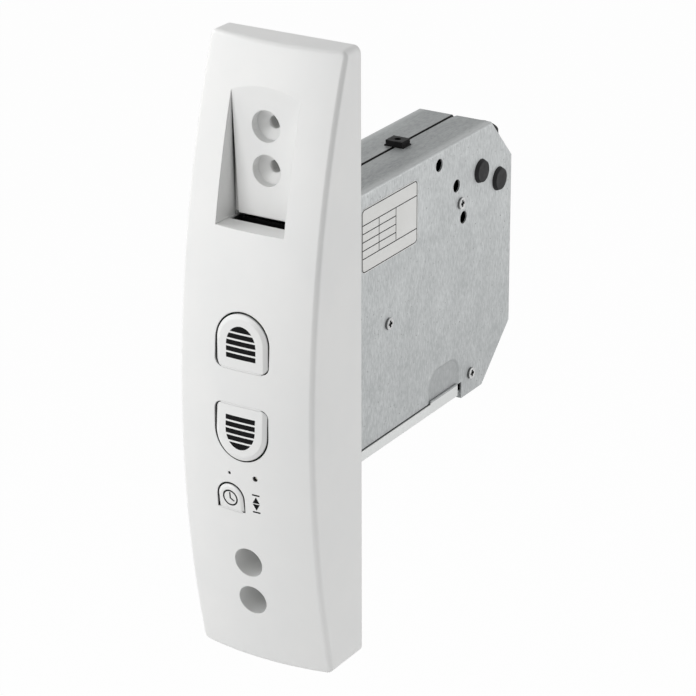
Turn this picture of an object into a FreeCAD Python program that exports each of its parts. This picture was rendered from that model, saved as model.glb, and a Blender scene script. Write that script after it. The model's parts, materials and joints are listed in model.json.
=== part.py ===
import FreeCAD, Part
import math
import os
import re
import Sketcher

# Electric belt winder for a roller shutter, in millimetres.
# X runs across the front from left to right, Y runs into the wall and Z runs up.
# The origin lies in the wall surface, midway between the wall screws.
# The wall surface is the plane y = 0, which the back edge of the cover meets. The cover stands out
# of the wall towards -Y, and the steel housing with the spool and the drive lies in the wall.
# Names that end in _x, _y or _z are places in this frame, and the others are sizes.

os.makedirs("parts", exist_ok=True)
doc = FreeCAD.newDocument("belt_winder")

SIZES = [
    # Cover: a long shell with a front that is bowed from top to bottom and crowned across
    ("plate_width", 64.0),
    ("plate_height", 266.0),
    ("plate_middle_z", 1.0),
    ("bow_depth", 37.0),
    ("bow_radius", 452.0),
    ("bow_z", -22.2),
    ("crown", 4.0),
    ("cover_wall", 2.4),
    ("plan_round", 3.2),
    ("rim_round", 2.4),
    ("lug_size", 1.2),
    ("lug_length", 12.0),
    # Belt recess, with the slot that the belt leaves at its foot
    ("recess_width", 32.2),
    ("recess_floor", 19.2),
    ("recess_z", 61.2),
    ("recess_length", 52.0),
    ("recess_round", 0.6),
    ("panel_thickness", 3.2),
    ("panel_gap", 1.5),
    ("panel_wall", 1.8),
    ("side_groove_width", 2.6),
    ("side_groove_depth", 1.6),
    ("slot_width", 31.0),
    ("slot_gap", 4.2),
    # Wall screws: two pairs, so that three common hole spacings fit
    ("hole_spacing", 165.0),
    ("hole_pitch", 18.4),
    ("head_bore", 13.2),
    ("head_seat", 15.3),
    ("screw_seat", 12.5),
    ("screw_bore", 5.3),
    ("boss_wall", 1.8),
    ("boss_end", 11.0),
    # Push buttons: flaps in the cover that bend about a thin hinge line
    ("button_width", 25.0),
    ("button_gap", 0.8),
    ("button_proud", 1.4),
    ("button_bevel", 1.8),
    ("button_bevel_depth", 0.9),
    ("clock_bevel", 1.2),
    ("clock_bevel_depth", 0.6),
    ("button_back", 35.2),
    ("button_hollow", 2.2),
    ("button_wall", 1.6),
    ("foot_round", 3.5),
    ("hook_round", 3.4),
    ("hinge_gap", 0.15),
    ("flap_spare", 4.0),
    ("up_arch_z", 15.9),
    ("up_hinge_z", 4.3),
    ("mirror_z", -3.25),
    ("clock_width", 13.0),
    ("clock_x", -6.2),
    ("clock_arch_z", -53.1),
    ("clock_hinge_z", -58.8),
    ("stem_diameter", 4.0),
    ("up_stem_z", 18.0),
    ("clock_stem_z", -50.0),
    ("press_gap", 0.2),
    # Status light and pin-operated set button
    ("light_z", -41.8),
    ("light_bore", 1.3),
    ("light_pipe", 1.16),
    ("set_x", 6.2),
    ("set_bore", 2.3),
    ("set_pin", 1.5),
    ("set_depth", 2.0),
    # Base frame behind the cover
    ("frame_thickness", 3.0),
    ("frame_gap", 0.2),
    ("tube_diameter", 12.0),
    ("opening_gap", 1.0),
    ("opening_low_z", -57.0),
    ("post_diameter", 6.0),
    ("post_bore", 2.2),
    ("ear_thickness", 2.0),
    ("ear_width", 10.0),
    ("ear_x", 20.7),
    ("roller_y", -9.5),
    ("roller_z", 52.0),
    ("roller_diameter", 8.0),
    ("roller_length", 30.0),
    ("roller_axle_diameter", 3.0),
    # Belt guide under the slot
    ("guide_width", 35.0),
    ("guide_depth", 9.4),
    ("guide_height", 4.0),
    ("guide_mouth_width", 27.0),
    ("guide_mouth", 5.2),
    ("guide_collar", 1.6),
    ("guide_notch", 1.4),
    # Control board and what stands on it
    ("board_width", 52.0),
    ("board_low_z", -65.0),
    ("board_high_z", 37.0),
    ("board_front", 26.0),
    ("board_thickness", 1.6),
    ("board_hole_x", 23.0),
    ("board_hole_inset", 5.0),
    ("board_screw", 2.5),
    ("board_screw_length", 8.0),
    ("switch_side", 6.2),
    ("switch_height", 3.5),
    ("plunger_diameter", 3.4),
    ("plunger_length", 1.5),
    ("plunger_travel", 0.6),
    ("plunger_collar", 0.4),
    ("led_diameter", 3.0),
    ("led_height", 4.0),
    ("relay_width", 12.5),
    ("relay_length", 16.0),
    ("relay_height", 10.5),
    ("relay_gap", 3.0),
    ("relay_z", -11.0),
    ("chip_side", 10.0),
    ("chip_height", 1.4),
    ("chip_z", 15.0),
    ("capacitor_diameter", 10.0),
    ("capacitor_height", 13.0),
    ("capacitor_x", 15.0),
    ("capacitor_z", -33.0),
    ("connector_width", 6.0),
    ("connector_height", 7.0),
    ("connector_depth", 8.0),
    # Steel housing: two folded shells that meet in a seam
    ("box_width", 37.4),
    ("box_top_z", 63.2),
    ("box_back_y", 150.1),
    ("box_floor_z", -55.0),
    ("top_back_y", 131.6),
    ("chamfer_z", 43.3),
    ("back_low_z", -34.2),
    ("tail_y", 106.5),
    ("tail_z", -57.9),
    ("tail_back_y", 124.9),
    ("right_low_z", -50.1),
    ("sheet", 0.8),
    ("bend_round", 1.2),
    ("seam_x", -0.8),
    ("seam_gap", 1.1),
    ("seam_nick", 5.0),
    ("lip_offset", 0.6),
    ("lip_top_z", -50.6),
    ("lip_start_y", 1.0),
    ("lip_end_y", 102.2),
    ("press_start_y", 77.6),
    ("press_end_y", 104.4),
    ("press_top_z", -35.8),
    ("press_round", 8.0),
    ("press_slope", 72.0),
    ("press_depth", 0.4),
    ("press_overlap", 1.4),
    ("tab_reach", 8.5),
    ("tab_height", 12.0),
    ("upper_tab_z", 15.0),
    ("lower_tab_z", -33.0),
    ("tab_screw", 3.0),
    ("tab_screw_length", 3.4),
    # Holes and screws of the side plates, each hole placed by reach and angle from the spool
    ("shell_screw", 3.0),
    ("shell_screw_head", 5.2),
    ("shell_screw_head_height", 1.0),
    ("shell_screw_length", 6.0),
    ("open_hole", 5.7),
    ("low_hole_reach", 68.7),
    ("low_hole_angle", 23.7),
    ("middle_hole_reach", 71.6),
    ("middle_hole_angle", 37.7),
    ("high_hole_reach", 71.0),
    ("high_hole_angle", 54.2),
    ("pillar_y", 114.6),
    ("pillar_z", -48.6),
    ("pillar_diameter", 6.0),
    ("screw_core", 2.4),
    # Rubber plugs, two in the right side and one in the slope at the back
    ("plug_head", 10.8),
    ("plug_face", 9.4),
    ("plug_height", 1.7),
    ("plug_neck", 8.8),
    ("plug_lip", 9.6),
    ("plug_lip_height", 1.2),
    ("plug_a_y", 121.4),
    ("plug_a_z", 43.9),
    ("plug_b_y", 137.5),
    ("plug_b_z", 35.6),
    ("plug_c_x", 12.9),
    ("plug_c_share", 0.29),
    # Clip on the top seam
    ("clip_y", 83.8),
    ("clip_width", 8.0),
    ("clip_depth", 6.8),
    ("clip_height", 2.7),
    ("clip_foot", 0.7),
    ("clip_foot_height", 0.5),
    ("clip_hole", 3.0),
    ("clip_stem", 4.4),
    ("clip_catch", 1.4),
    # Rating label, which carries no print
    ("label_start_y", 22.0),
    ("label_end_y", 67.1),
    ("label_low_z", 28.3),
    ("label_high_z", 56.6),
    ("label_round", 3.0),
    ("label_thickness", 0.15),
    # Spool, which turns on a fixed axle between the shells
    ("spool_y", 43.8),
    ("spool_z", -0.5),
    ("belt_space", 24.0),
    ("hub_diameter", 30.0),
    ("flange_thickness", 1.8),
    ("collar_diameter", 14.0),
    ("belt_slit", 2.4),
    ("belt_slit_depth", 9.0),
    ("spool_axle_diameter", 6.0),
    ("bush_diameter", 10.0),
    ("bush_length", 8.0),
    ("running_gap", 0.05),
    ("side_play", 0.6),
    ("spool_screw_circle", 21.0),
    ("spool_screw", 2.5),
    ("spool_screw_length", 9.0),
    ("hub_rib_recess", 7.0),
    # Gears: the spool gear, the drive gear in mesh with it, and the worm wheel
    ("gear_module", 1.5),
    ("spool_teeth", 60),
    ("drive_teeth", 33),
    ("gear_width", 4.0),
    ("backlash", 0.3),
    ("drive_angle", 30.0),
    ("drive_axle_diameter", 5.0),
    ("drive_hub_diameter", 11.0),
    ("drive_hex", 9.0),
    ("wheel_module", 1.0),
    ("wheel_teeth", 36),
    ("wheel_width", 6.0),
    ("worm_pitch_diameter", 10.0),
    ("worm_length", 16.0),
    ("thread_height", 1.85),
    ("thread_tip", 0.6),
    ("thread_base", 1.5),
    # Motor, standing behind the spool with its shaft upwards
    ("motor_diameter", 32.0),
    ("motor_wall", 1.2),
    ("motor_top_z", 5.5),
    ("motor_length", 42.0),
    ("motor_shaft_diameter", 3.2),
    ("motor_boss", 10.0),
    ("motor_boss_height", 2.0),
    ("cap_height", 2.5),
    ("magnet_thickness", 2.2),
    ("magnet_length", 26.0),
    ("magnet_gap", 10.0),
    ("armature_diameter", 23.6),
    ("armature_length", 22.0),
    ("armature_slot", 2.4),
    ("commutator_diameter", 9.0),
    ("commutator_length", 6.0),
    ("motor_screw", 3.0),
    ("motor_screw_circle", 16.0),
    ("bracket_sheet", 1.2),
    ("bracket_width", 26.0),
    ("bracket_right_x", 10.8),
    ("bracket_top_z", 52.2),
    ("bracket_top_x", 8.0),
    ("bearing_diameter", 7.0),
    ("bearing_flange", 10.0),
    ("terminal_width", 2.8),
    ("terminal_thickness", 0.6),
    ("terminal_length", 5.0),
    ("terminal_x", 8.0),
    ("sensor_magnet_diameter", 10.0),
    ("sensor_magnet_height", 2.5),
    ("sensor_gap", 1.5),
    ("sensor_board_side", 14.4),
    ("sensor_leg", 2.4),
    ("sensor_leg_x", 3.0),
    # Leads inside the housing, and the low-voltage inlet in its floor
    ("lead_diameter", 2.2),
    ("lead_bend", 24.0),
    ("lead_slope", 30.0),
    ("lead_z", -52.6),
    ("sensor_lead_diameter", 1.6),
    ("lead_x", 8.0),
    ("sensor_lead_x", 6.0),
    ("inlet_y", 12.5),
    ("inlet_width", 9.0),
    ("inlet_depth", 10.0),
    ("inlet_height", 12.0),
    ("inlet_collar", 8.0),
    ("inlet_collar_height", 0.9),
    ("inlet_bore", 5.6),
    ("inlet_bore_depth", 9.0),
    ("inlet_pin", 2.0),
    ("power_lead_z", -44.0),
]

DERIVED = [
    ("crown_radius", "((plate_width / 2) ^ 2 + crown ^ 2) / (2 * crown)"),
    ("front_y", "-(bow_depth + crown)"),
    ("plate_low_z", "plate_middle_z - plate_height / 2"),
    ("plate_high_z", "plate_middle_z + plate_height / 2"),
    ("bow_axis_y", "bow_radius - bow_depth"),
    ("down_arch_z", "2 * mirror_z - up_arch_z"),
    ("down_hinge_z", "2 * mirror_z - up_hinge_z"),
    ("down_stem_z", "2 * mirror_z - up_stem_z"),
    ("button_tilt", "atan(button_proud / (up_arch_z + button_width / 2 - up_hinge_z))"),
    ("clock_tilt", "atan(button_proud / (clock_arch_z + clock_width / 2 - clock_hinge_z) * 0.6)"),
    ("upper_hole_z", "hole_spacing / 2"),
    ("lower_hole_z", "-hole_spacing / 2"),
    ("board_back_y", "-(board_front - board_thickness)"),
    ("switch_top_y", "-(board_front + switch_height)"),
    ("plunger_tip_y", "switch_top_y - plunger_length"),
    ("frame_front_y", "-frame_thickness"),
    ("shell_front_y", "-(frame_thickness + sheet)"),
    ("box_side_x", "box_width / 2"),
    ("box_inner_x", "box_width / 2 - sheet"),
    ("slope_angle", "atan((box_top_z - chamfer_z) / (box_back_y - top_back_y))"),
    ("inner_top_y", "top_back_y - sheet * tan(slope_angle / 2)"),
    ("inner_slope_z", "chamfer_z - sheet * (1 - sin(slope_angle)) / cos(slope_angle)"),
    ("tail_angle", "atan((back_low_z - tail_z) / (box_back_y - tail_back_y))"),
    ("inner_tail_y", "tail_back_y - sheet * tan(tail_angle / 2)"),
    ("inner_back_low_z", "back_low_z + sheet * (1 - sin(tail_angle)) / cos(tail_angle)"),
    ("spool_gear_x", "belt_space / 2"),
    ("spool_pitch_radius", "gear_module * spool_teeth / 2"),
    ("drive_distance", "gear_module * (spool_teeth + drive_teeth) / 2"),
    ("drive_y", "spool_y + drive_distance * cos(drive_angle)"),
    ("drive_z", "spool_z + drive_distance * sin(drive_angle)"),
    ("flange_diameter", "gear_module * (spool_teeth + 2)"),
    ("motor_y", "drive_y + (wheel_module * wheel_teeth + worm_pitch_diameter) / 2"),
    ("motor_low_z", "motor_top_z - motor_length"),
    ("cap_low_z", "motor_low_z - cap_height"),
    ("sensor_magnet_z", "cap_low_z - sensor_magnet_height - 2 * frame_gap"),
    ("sensor_board_z", "sensor_magnet_z - sensor_gap"),
    ("motor_head_z", "motor_top_z + bracket_sheet"),
    ("worm_root_diameter", "worm_pitch_diameter - 2.5 * wheel_module"),
]

sheet = doc.addObject("Spreadsheet::Sheet", "sizes")
for row, (name, entry) in enumerate(SIZES, start=1):
    sheet.set(f"A{row}", name)
    sheet.set(f"B{row}", str(entry))
    sheet.setAlias(f"B{row}", name)
for row, (name, formula) in enumerate(DERIVED, start=len(SIZES) + 1):
    sheet.set(f"A{row}", name)
    sheet.set(f"B{row}", "=" + formula)
    sheet.setAlias(f"B{row}", name)
doc.recompute()

NAMES = {name for name, entry in SIZES + DERIVED}
PIECES = []
AXES = {"XY": (0, 0, 1), "YZ": (1, 0, 0), "XZ": (0, -1, 0)}


def linked(formula):
    """A formula of named sizes, as an expression that reads them from the sheet."""
    return re.sub(r"[a-z_]+", lambda word: f"sizes.{word[0]}" if word[0] in NAMES else word[0], formula)


def value(formula):
    """The number that a formula of named sizes gives now."""
    return float(sheet.evalExpression(linked(formula)))


def vector(*numbers):
    return FreeCAD.Vector(*numbers)


# Outlines: each is a list of corners and arcs in the two axes of a plane

def path(start, *steps):
    """A closed outline. A step is a corner, or a corner with the centre and sense of its arc."""
    return ("path", start, steps)


def polygon(*corners):
    return path(corners[0], *corners[1:])


def rect(left, right, low, high):
    return polygon((left, low), (right, low), (right, high), (left, high))


def disc(x, y, diameter):
    return ("circle", x, y, diameter)


def rounded(left, right, low, high, radius):
    """A rectangle with round corners."""
    in_left = f"{left} + {radius}"
    in_right = f"{right} - {radius}"
    in_low = f"{low} + {radius}"
    in_high = f"{high} - {radius}"
    return path(
        (in_left, low),
        (in_right, low),
        (right, in_low, (in_right, in_low), "left"),
        (right, in_high),
        (in_right, high, (in_right, in_high), "left"),
        (in_left, high),
        (left, in_high, (in_left, in_high), "left"),
        (left, in_low),
        (in_left, low, (in_left, in_low), "left"),
    )


def arch(x, centre, radius, foot, sense):
    """Two straight sides that stand on a foot line, closed by a half circle."""
    left = f"{x} - ({radius})"
    right = f"{x} + ({radius})"
    return path((left, foot), (right, foot), (right, centre), (left, centre, (x, centre), sense))


def cross(x, y, long, wide):
    """The plus-shaped recess of a screw head."""
    far = f"({long}) / 2"
    near = f"({wide}) / 2"
    turns = [(far, near), (near, near), (near, far)]
    corners = [(f"{x} + {a}", f"{y} + {b}") for a, b in turns]
    corners += [(f"{x} - {b}", f"{y} + {a}") for a, b in turns]
    corners += [(f"{x} - {a}", f"{y} - {b}") for a, b in turns]
    corners += [(f"{x} + {b}", f"{y} - {a}") for a, b in turns]
    return polygon(*corners)


def hexagon(x, y, flats):
    """A hexagon with two flats across the first axis."""
    side = f"({flats}) / 2 / cos(30)"
    turns = [30, 90, 150, 210, 270, 330]
    return polygon(*[(f"{x} + {side} * cos({a})", f"{y} + {side} * sin({a})") for a in turns])


# Sketches: every corner and centre is held by a formula, measured from the origin

def hold(sketch, geometry, point, x, y):
    for kind, formula in (("DistanceX", x), ("DistanceY", y)):
        constraint = Sketcher.Constraint(kind, -1, 1, geometry, point, value(formula))
        number = sketch.addConstraint(constraint)
        sketch.setExpression(f"Constraints[{number}]", linked(formula))


def draw_circle(sketch, x, y, diameter):
    centre = vector(value(x), value(y), 0)
    circle = Part.Circle(centre, vector(0, 0, 1), value(diameter) / 2)
    geometry = sketch.addGeometry(circle, False)
    hold(sketch, geometry, 3, x, y)
    number = sketch.addConstraint(Sketcher.Constraint("Diameter", geometry, value(diameter)))
    sketch.setExpression(f"Constraints[{number}]", linked(diameter))


def draw_arc(sketch, here, there, centre, sense):
    middle = vector(value(centre[0]), value(centre[1]), 0)
    start = vector(value(here[0]), value(here[1]), 0)
    end = vector(value(there[0]), value(there[1]), 0)
    if sense == "right":
        start, end = end, start
    angles = [math.atan2(p.y - middle.y, p.x - middle.x) for p in (start, end)]
    if angles[1] <= angles[0]:
        angles[1] += 2 * math.pi
    circle = Part.Circle(middle, vector(0, 0, 1), (start - middle).Length)
    return sketch.addGeometry(Part.ArcOfCircle(circle, *angles), False)


def draw_path(sketch, start, steps):
    corners = [start] + [step[:2] for step in steps]
    closing = () if corners[-1] == start else (start,)
    drawn = []
    here = start
    for step in steps + closing:
        there = step[:2]
        if len(step) == 4:
            geometry = draw_arc(sketch, here, there, step[2], step[3])
            first, last = (1, 2) if step[3] == "left" else (2, 1)
            drawn.append((geometry, first, last, step[2]))
        else:
            ends = [vector(value(a), value(b), 0) for a, b in (here, there)]
            geometry = sketch.addGeometry(Part.LineSegment(*ends), False)
            drawn.append((geometry, 1, 2, None))
        here = there
    for k, (geometry, first, last, centre) in enumerate(drawn):
        follower = drawn[(k + 1) % len(drawn)]
        sketch.addConstraint(Sketcher.Constraint("Coincident", geometry, last, follower[0], follower[1]))
        hold(sketch, geometry, first, *corners[k])
        if centre:
            level = corners[k][1] == corners[(k + 1) % len(corners)][1]
            kind, formula = ("DistanceY", centre[1]) if level else ("DistanceX", centre[0])
            constraint = Sketcher.Constraint(kind, -1, 1, geometry, 3, value(formula))
            number = sketch.addConstraint(constraint)
            sketch.setExpression(f"Constraints[{number}]", linked(formula))


def sketch_on(body, plane, at):
    """An empty sketch on one of the body's own planes, moved to a place along its normal."""
    count = len(body.Group)
    sketch = body.newObject("Sketcher::SketchObject", f"{body.Label}_sketch_{count}")
    role = f"{plane}_Plane"
    origin = [feature for feature in body.Origin.OriginFeatures if feature.Role == role]
    sketch.AttachmentSupport = (origin[0], [""])
    sketch.MapMode = "FlatFace"
    formula = f"-({at})" if plane == "XZ" else at
    sketch.setExpression("AttachmentOffset.Base.z", linked(formula))
    return sketch


def outline_sketch(body, plane, at, outlines):
    sketch = sketch_on(body, plane, at)
    for outline in outlines:
        if outline[0] == "circle":
            draw_circle(sketch, *outline[1:])
        else:
            draw_path(sketch, *outline[1:])
    return sketch


# Features: a slab adds material between two places along an axis, and a cut takes it away

def slab(body, plane, low, high, *outlines):
    start = high if plane == "XZ" else low
    sketch = outline_sketch(body, plane, start, outlines)
    pad = body.newObject("PartDesign::Pad", f"{body.Label}_slab_{len(body.Group)}")
    pad.Profile = sketch
    pad.setExpression("Length", linked(f"({high}) - ({low})"))
    return pad


def cut(body, plane, low, high, *outlines):
    start = low if plane == "XZ" else high
    sketch = outline_sketch(body, plane, start, outlines)
    pocket = body.newObject("PartDesign::Pocket", f"{body.Label}_cut_{len(body.Group)}")
    pocket.Profile = sketch
    pocket.setExpression("Length", linked(f"({high}) - ({low})"))
    return pocket


def turn_cut(body, plane, at, axis_start, axis_end, outline):
    """Take away an outline that is turned about a line in its plane."""
    sketch = outline_sketch(body, plane, at, [outline])
    ends = [vector(value(a), value(b), 0) for a, b in (axis_start, axis_end)]
    axis = sketch.addGeometry(Part.LineSegment(*ends), True)
    hold(sketch, axis, 1, *axis_start)
    hold(sketch, axis, 2, *axis_end)
    groove = body.newObject("PartDesign::Groove", f"{body.Label}_turn_{len(body.Group)}")
    groove.Profile = sketch
    groove.ReferenceAxis = (sketch, ["Axis0"])
    groove.Angle = 360
    return groove


def bow_cut(body, proud, back="0", up="0"):
    """Shape the front: take away all that lies outside the bowed and crowned surface.

    The outline is drawn behind the bow's axis, so that the seam of the turned cut stays behind too.
    A piece of the front that is tilted about a hinge has the same bow, moved back and up.
    """
    radius = f"(crown_radius + {proud})"
    centre = f"2 * bow_axis_y - front_y - crown_radius + {back}"
    reach = "(plate_width * 0.55)"
    edge = f"{centre} + sqrt({radius} ^ 2 - {reach} ^ 2)"
    outside = f"2 * bow_axis_y - front_y + bow_radius / 5 + {back}"
    axis_y = f"bow_axis_y + {back}"
    outline = path(
        (f"-{reach}", edge),
        (f"-{reach}", outside),
        (reach, outside),
        (reach, edge),
        (f"-{reach}", edge, ("0", centre), "left"),
    )
    return turn_cut(body, "XY", f"bow_z + {up}", (f"-{reach}", axis_y), (reach, axis_y), outline)


def spin_pattern(body, feature, count):
    """Repeat a feature round the body's X axis."""
    pattern = body.newObject("PartDesign::PolarPattern", f"{body.Label}_teeth")
    pattern.Originals = [feature]
    axis = [line for line in body.Origin.OriginFeatures if line.Role == "X_Axis"]
    pattern.Axis = (axis[0], [""])
    pattern.Angle = 360
    pattern.setExpression("Occurrences", linked(count))
    body.Tip = pattern
    return pattern


def middle(edge):
    return edge.valueAt((edge.FirstParameter + edge.LastParameter) / 2)


def is_along(edge, axis):
    """True for a straight edge that lies along one of the axes x, y or z."""
    if edge.Curve.TypeId != "Part::GeomLine":
        return False
    return abs(getattr(edge.tangentAt(edge.FirstParameter), axis)) > 0.999


def finish_edges(body, kind, size, wanted):
    """Fillet or chamfer the edges that a test picks."""
    doc.recompute()
    base = body.Tip
    names = [f"Edge{k}" for k, edge in enumerate(base.Shape.Edges, start=1) if wanted(edge)]
    if not names:
        raise ValueError(f"{body.Label}: no edge to finish")
    feature = body.newObject(f"PartDesign::{kind}", f"{body.Label}_{kind.lower()}_{len(body.Group)}")
    feature.Base = (base, names)
    feature.setExpression("Radius" if kind == "Fillet" else "Size", linked(size))
    return feature


def bevel_edges(body, wide, deep, wanted):
    """Bevel the edges that a test picks: wide along the front, deep along the sides."""
    bevel = finish_edges(body, "Chamfer", wide, wanted)
    bevel.ChamferType = "Two distances"
    bevel.setExpression("Size2", linked(deep))
    bevel.FlipDirection = True
    return bevel


def front_edges(body):
    """The edges round the bowed front of a body, as a test."""
    doc.recompute()
    faces = [face for face in body.Tip.Shape.Faces if face.Surface.TypeId == "Part::GeomToroid"]
    front = max(faces, key=lambda face: face.Area)
    return lambda edge: any(edge.isSame(other) for other in front.Edges)


def new_body(label, y="0", z="0", turn=None, kept=True):
    """A body with its own place, and a turn about X where one is given."""
    body = doc.addObject("PartDesign::Body", label)
    body.Label = label
    body.AllowCompound = True
    if turn:
        body.Placement.Rotation = FreeCAD.Rotation(vector(1, 0, 0), value(turn))
        body.setExpression("Placement.Rotation.Angle", linked(turn))
    body.setExpression("Placement.Base.y", linked(y))
    body.setExpression("Placement.Base.z", linked(z))
    if kept:
        PIECES.append(body)
    return body


# Cover and buttons

def cover_form():
    """The outer form of the cover, still solid, with its recess, wells and windows."""
    body = new_body("cover_form", kept=False)
    half_width = "plate_width / 2"
    slab(body, "XZ", "front_y - 3", "0", rect(f"-{half_width}", half_width, "plate_low_z", "plate_high_z"))
    bow_cut(body, "0")
    finish_edges(body, "Fillet", "plan_round", lambda edge: is_along(edge, "y"))
    finish_edges(body, "Fillet", "rim_round", front_edges(body))
    half_recess = "recess_width / 2"
    recess = rect(f"-{half_recess}", half_recess, "recess_z", "plate_high_z - cover_wall")
    cut(body, "XZ", "front_y - 3", "-recess_floor", recess)
    top = "recess_z + recess_length"
    foot = "(recess_width / 2 - side_groove_width)"
    grooves = [
        polygon((f"-{half_recess}", "recess_z"), (f"-{foot}", "recess_z"), (f"-{half_recess}", top)),
        polygon((half_recess, "recess_z"), (half_recess, top), (foot, "recess_z")),
    ]
    cut(body, "XZ", "-recess_floor - 1", "-recess_floor + side_groove_depth", *grooves)
    slot = rect(
        "-slot_width / 2",
        "slot_width / 2",
        "-recess_floor - slot_gap",
        "-recess_floor + panel_thickness",
    )
    cut(body, "XY", "recess_z - cover_wall - 1", "recess_z + panel_gap", slot)
    for z in wall_screw_heights():
        well = polygon(
            ("front_y - 3", z),
            ("front_y - 3", f"{z} + head_bore / 2"),
            ("-head_seat", f"{z} + head_bore / 2"),
            ("-screw_seat", f"{z} + screw_bore / 2"),
            ("1", f"{z} + screw_bore / 2"),
            ("1", z),
        )
        turn_cut(body, "YZ", "0", ("front_y - 3", z), ("1", z), well)
    window = "(button_width + button_gap) / 2"
    clock_window = "(clock_width + button_gap) / 2"
    windows = [
        arch("0", "up_arch_z", window, "up_hinge_z", "left"),
        arch("0", "down_arch_z", window, "down_hinge_z", "right"),
        arch("clock_x", "clock_arch_z", clock_window, "clock_hinge_z", "left"),
        disc("clock_x", "light_z", "light_bore"),
        disc("set_x", "light_z", "set_bore"),
    ]
    cut(body, "XZ", "front_y - 3", "-boss_end", *windows)
    corner_x = value(window)
    corner_z = [value("up_hinge_z"), value("down_hinge_z")]
    finish_edges(
        body,
        "Fillet",
        "foot_round",
        lambda edge: is_along(edge, "y")
        and abs(abs(middle(edge).x) - corner_x) < 0.01
        and min(abs(middle(edge).z - z) for z in corner_z) < 0.01,
    )
    return body


def wall_screw_heights():
    return [
        "upper_hole_z",
        "upper_hole_z + hole_pitch",
        "lower_hole_z",
        "lower_hole_z - hole_pitch",
    ]


def cover_core():
    """The hollow behind the cover. What is cut from it stays as walls and bosses of the cover."""
    body = new_body("cover_core", kept=False)
    half_width = "(plate_width / 2 - cover_wall)"
    outline = rect(f"-{half_width}", half_width, "plate_low_z + cover_wall", "plate_high_z - cover_wall")
    slab(body, "XZ", "front_y - 3", "1", outline)
    bow_cut(body, "-cover_wall")
    half_block = "(recess_width / 2 + panel_wall)"
    block = rect(
        f"-{half_block}",
        half_block,
        "recess_z - cover_wall",
        "recess_z + recess_length + 2 * cover_wall",
    )
    cut(body, "XZ", "front_y - 3", "-recess_floor + panel_thickness", block)
    bosses = [disc("0", z, "head_bore + 2 * boss_wall") for z in wall_screw_heights()]
    for boss in bosses:
        cut(body, "XZ", "front_y - 3", "-boss_end", boss)
    lugs = []
    for share in ("0.36", "0.1", "-0.15", "-0.4"):
        low = f"plate_middle_z + {share} * plate_height - lug_length / 2"
        high = f"plate_middle_z + {share} * plate_height + lug_length / 2"
        lugs.append(rect(f"{half_width} - lug_size", f"{half_width} + 1", low, high))
        lugs.append(rect(f"-{half_width} - 1", f"-{half_width} + lug_size", low, high))
    cut(body, "XZ", "frame_front_y - lug_size", "frame_front_y", *lugs)
    return body


def front_cover():
    form = cover_form()
    core = cover_core()
    cover = doc.addObject("Part::Cut", "front_cover")
    cover.Label = "front_cover"
    cover.Base = form
    cover.Tool = core
    PIECES.append(cover)


def tilted_bow(hinge, tilt, sign):
    """How far the bow's axis moves back and up when the front is tilted forwards about a hinge line."""
    reach = "(bow_axis_y - front_y)"
    rise = f"(bow_z - ({hinge}))"
    run = f"sqrt({reach} ^ 2 - {rise} ^ 2)"
    back = f"((cos({tilt}) - 1) * {run} - {sign} * sin({tilt}) * {rise})"
    up = f"({sign} * sin({tilt}) * {run} + (cos({tilt}) - 1) * {rise})"
    return back, up


def foot_shape(x, radius, foot, rounding, points_up):
    """All that lies past the foot of a flap, up to its two rounded corners."""
    up, down, sense = ("+", "-", "left") if points_up else ("-", "+", "right")
    level = f"{foot} {up} {rounding}"
    side = f"({radius} + 0.1)"
    inner = f"({radius} + 0.1 - {rounding})"
    past = f"({radius} + 1)"
    return path(
        (f"{x} - {past}", level),
        (f"{x} - {side}", level),
        (f"{x} - {inner}", foot, (f"{x} - {inner}", level), sense),
        (f"{x} + {inner}", foot),
        (f"{x} + {side}", level, (f"{x} + {inner}", level), sense),
        (f"{x} + {past}", level),
        (f"{x} + {past}", f"{foot} {down} 2 * flap_spare"),
        (f"{x} - {past}", f"{foot} {down} 2 * flap_spare"),
    )


def button(label, x, centre, hinge, width, stem, points_up):
    """A flap that stands out towards its arch, with a bevelled edge, a hollow back and a stem."""
    body = new_body(label)
    sense = "left" if points_up else "right"
    foot = f"{hinge} + hinge_gap" if points_up else f"{hinge} - hinge_gap"
    radius = f"({width} - button_gap) / 2"
    spare = f"{foot} - flap_spare" if points_up else f"{foot} + flap_spare"
    slab(body, "XZ", "front_y - 2 * button_proud", "-button_back", arch(x, centre, radius, spare, sense))
    tilt = "button_tilt" if width == "button_width" else "clock_tilt"
    bow_cut(body, "0", *tilted_bow(hinge, tilt, "1" if points_up else "-1"))
    bevel = "button_bevel" if width == "button_width" else "clock_bevel"
    bevel_edges(body, bevel, f"{bevel}_depth", front_edges(body))
    rounding = "hook_round" if width == "button_width" else "hinge_gap"
    past_foot = foot_shape(x, radius, foot, rounding, points_up)
    cut(body, "XZ", "front_y - 3 * button_proud", "-button_back", past_foot)
    inner_foot = f"{foot} + button_wall" if points_up else f"{foot} - button_wall"
    hollow = arch(x, centre, f"{radius} - button_wall", inner_foot, sense)
    cut(body, "XZ", "-button_back - button_hollow", "-button_back", hollow)
    stem_end = "plunger_tip_y - press_gap"
    slab(body, "XZ", "-button_back - button_hollow - 0.5", stem_end, disc(x, stem, "stem_diameter"))


def buttons():
    button("up_button", "0", "up_arch_z", "up_hinge_z", "button_width", "up_stem_z", True)
    button("down_button", "0", "down_arch_z", "down_hinge_z", "button_width", "down_stem_z", False)
    button("clock_button", "clock_x", "clock_arch_z", "clock_hinge_z", "clock_width", "clock_stem_z", True)


# Base frame, belt guide and roller

def board_holes(diameter):
    """The four corners of the control board where it is screwed down."""
    heights = ("board_high_z - board_hole_inset", "board_low_z + board_hole_inset")
    return [disc(x, z, diameter) for x in ("board_hole_x", "-board_hole_x") for z in heights]


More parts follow.
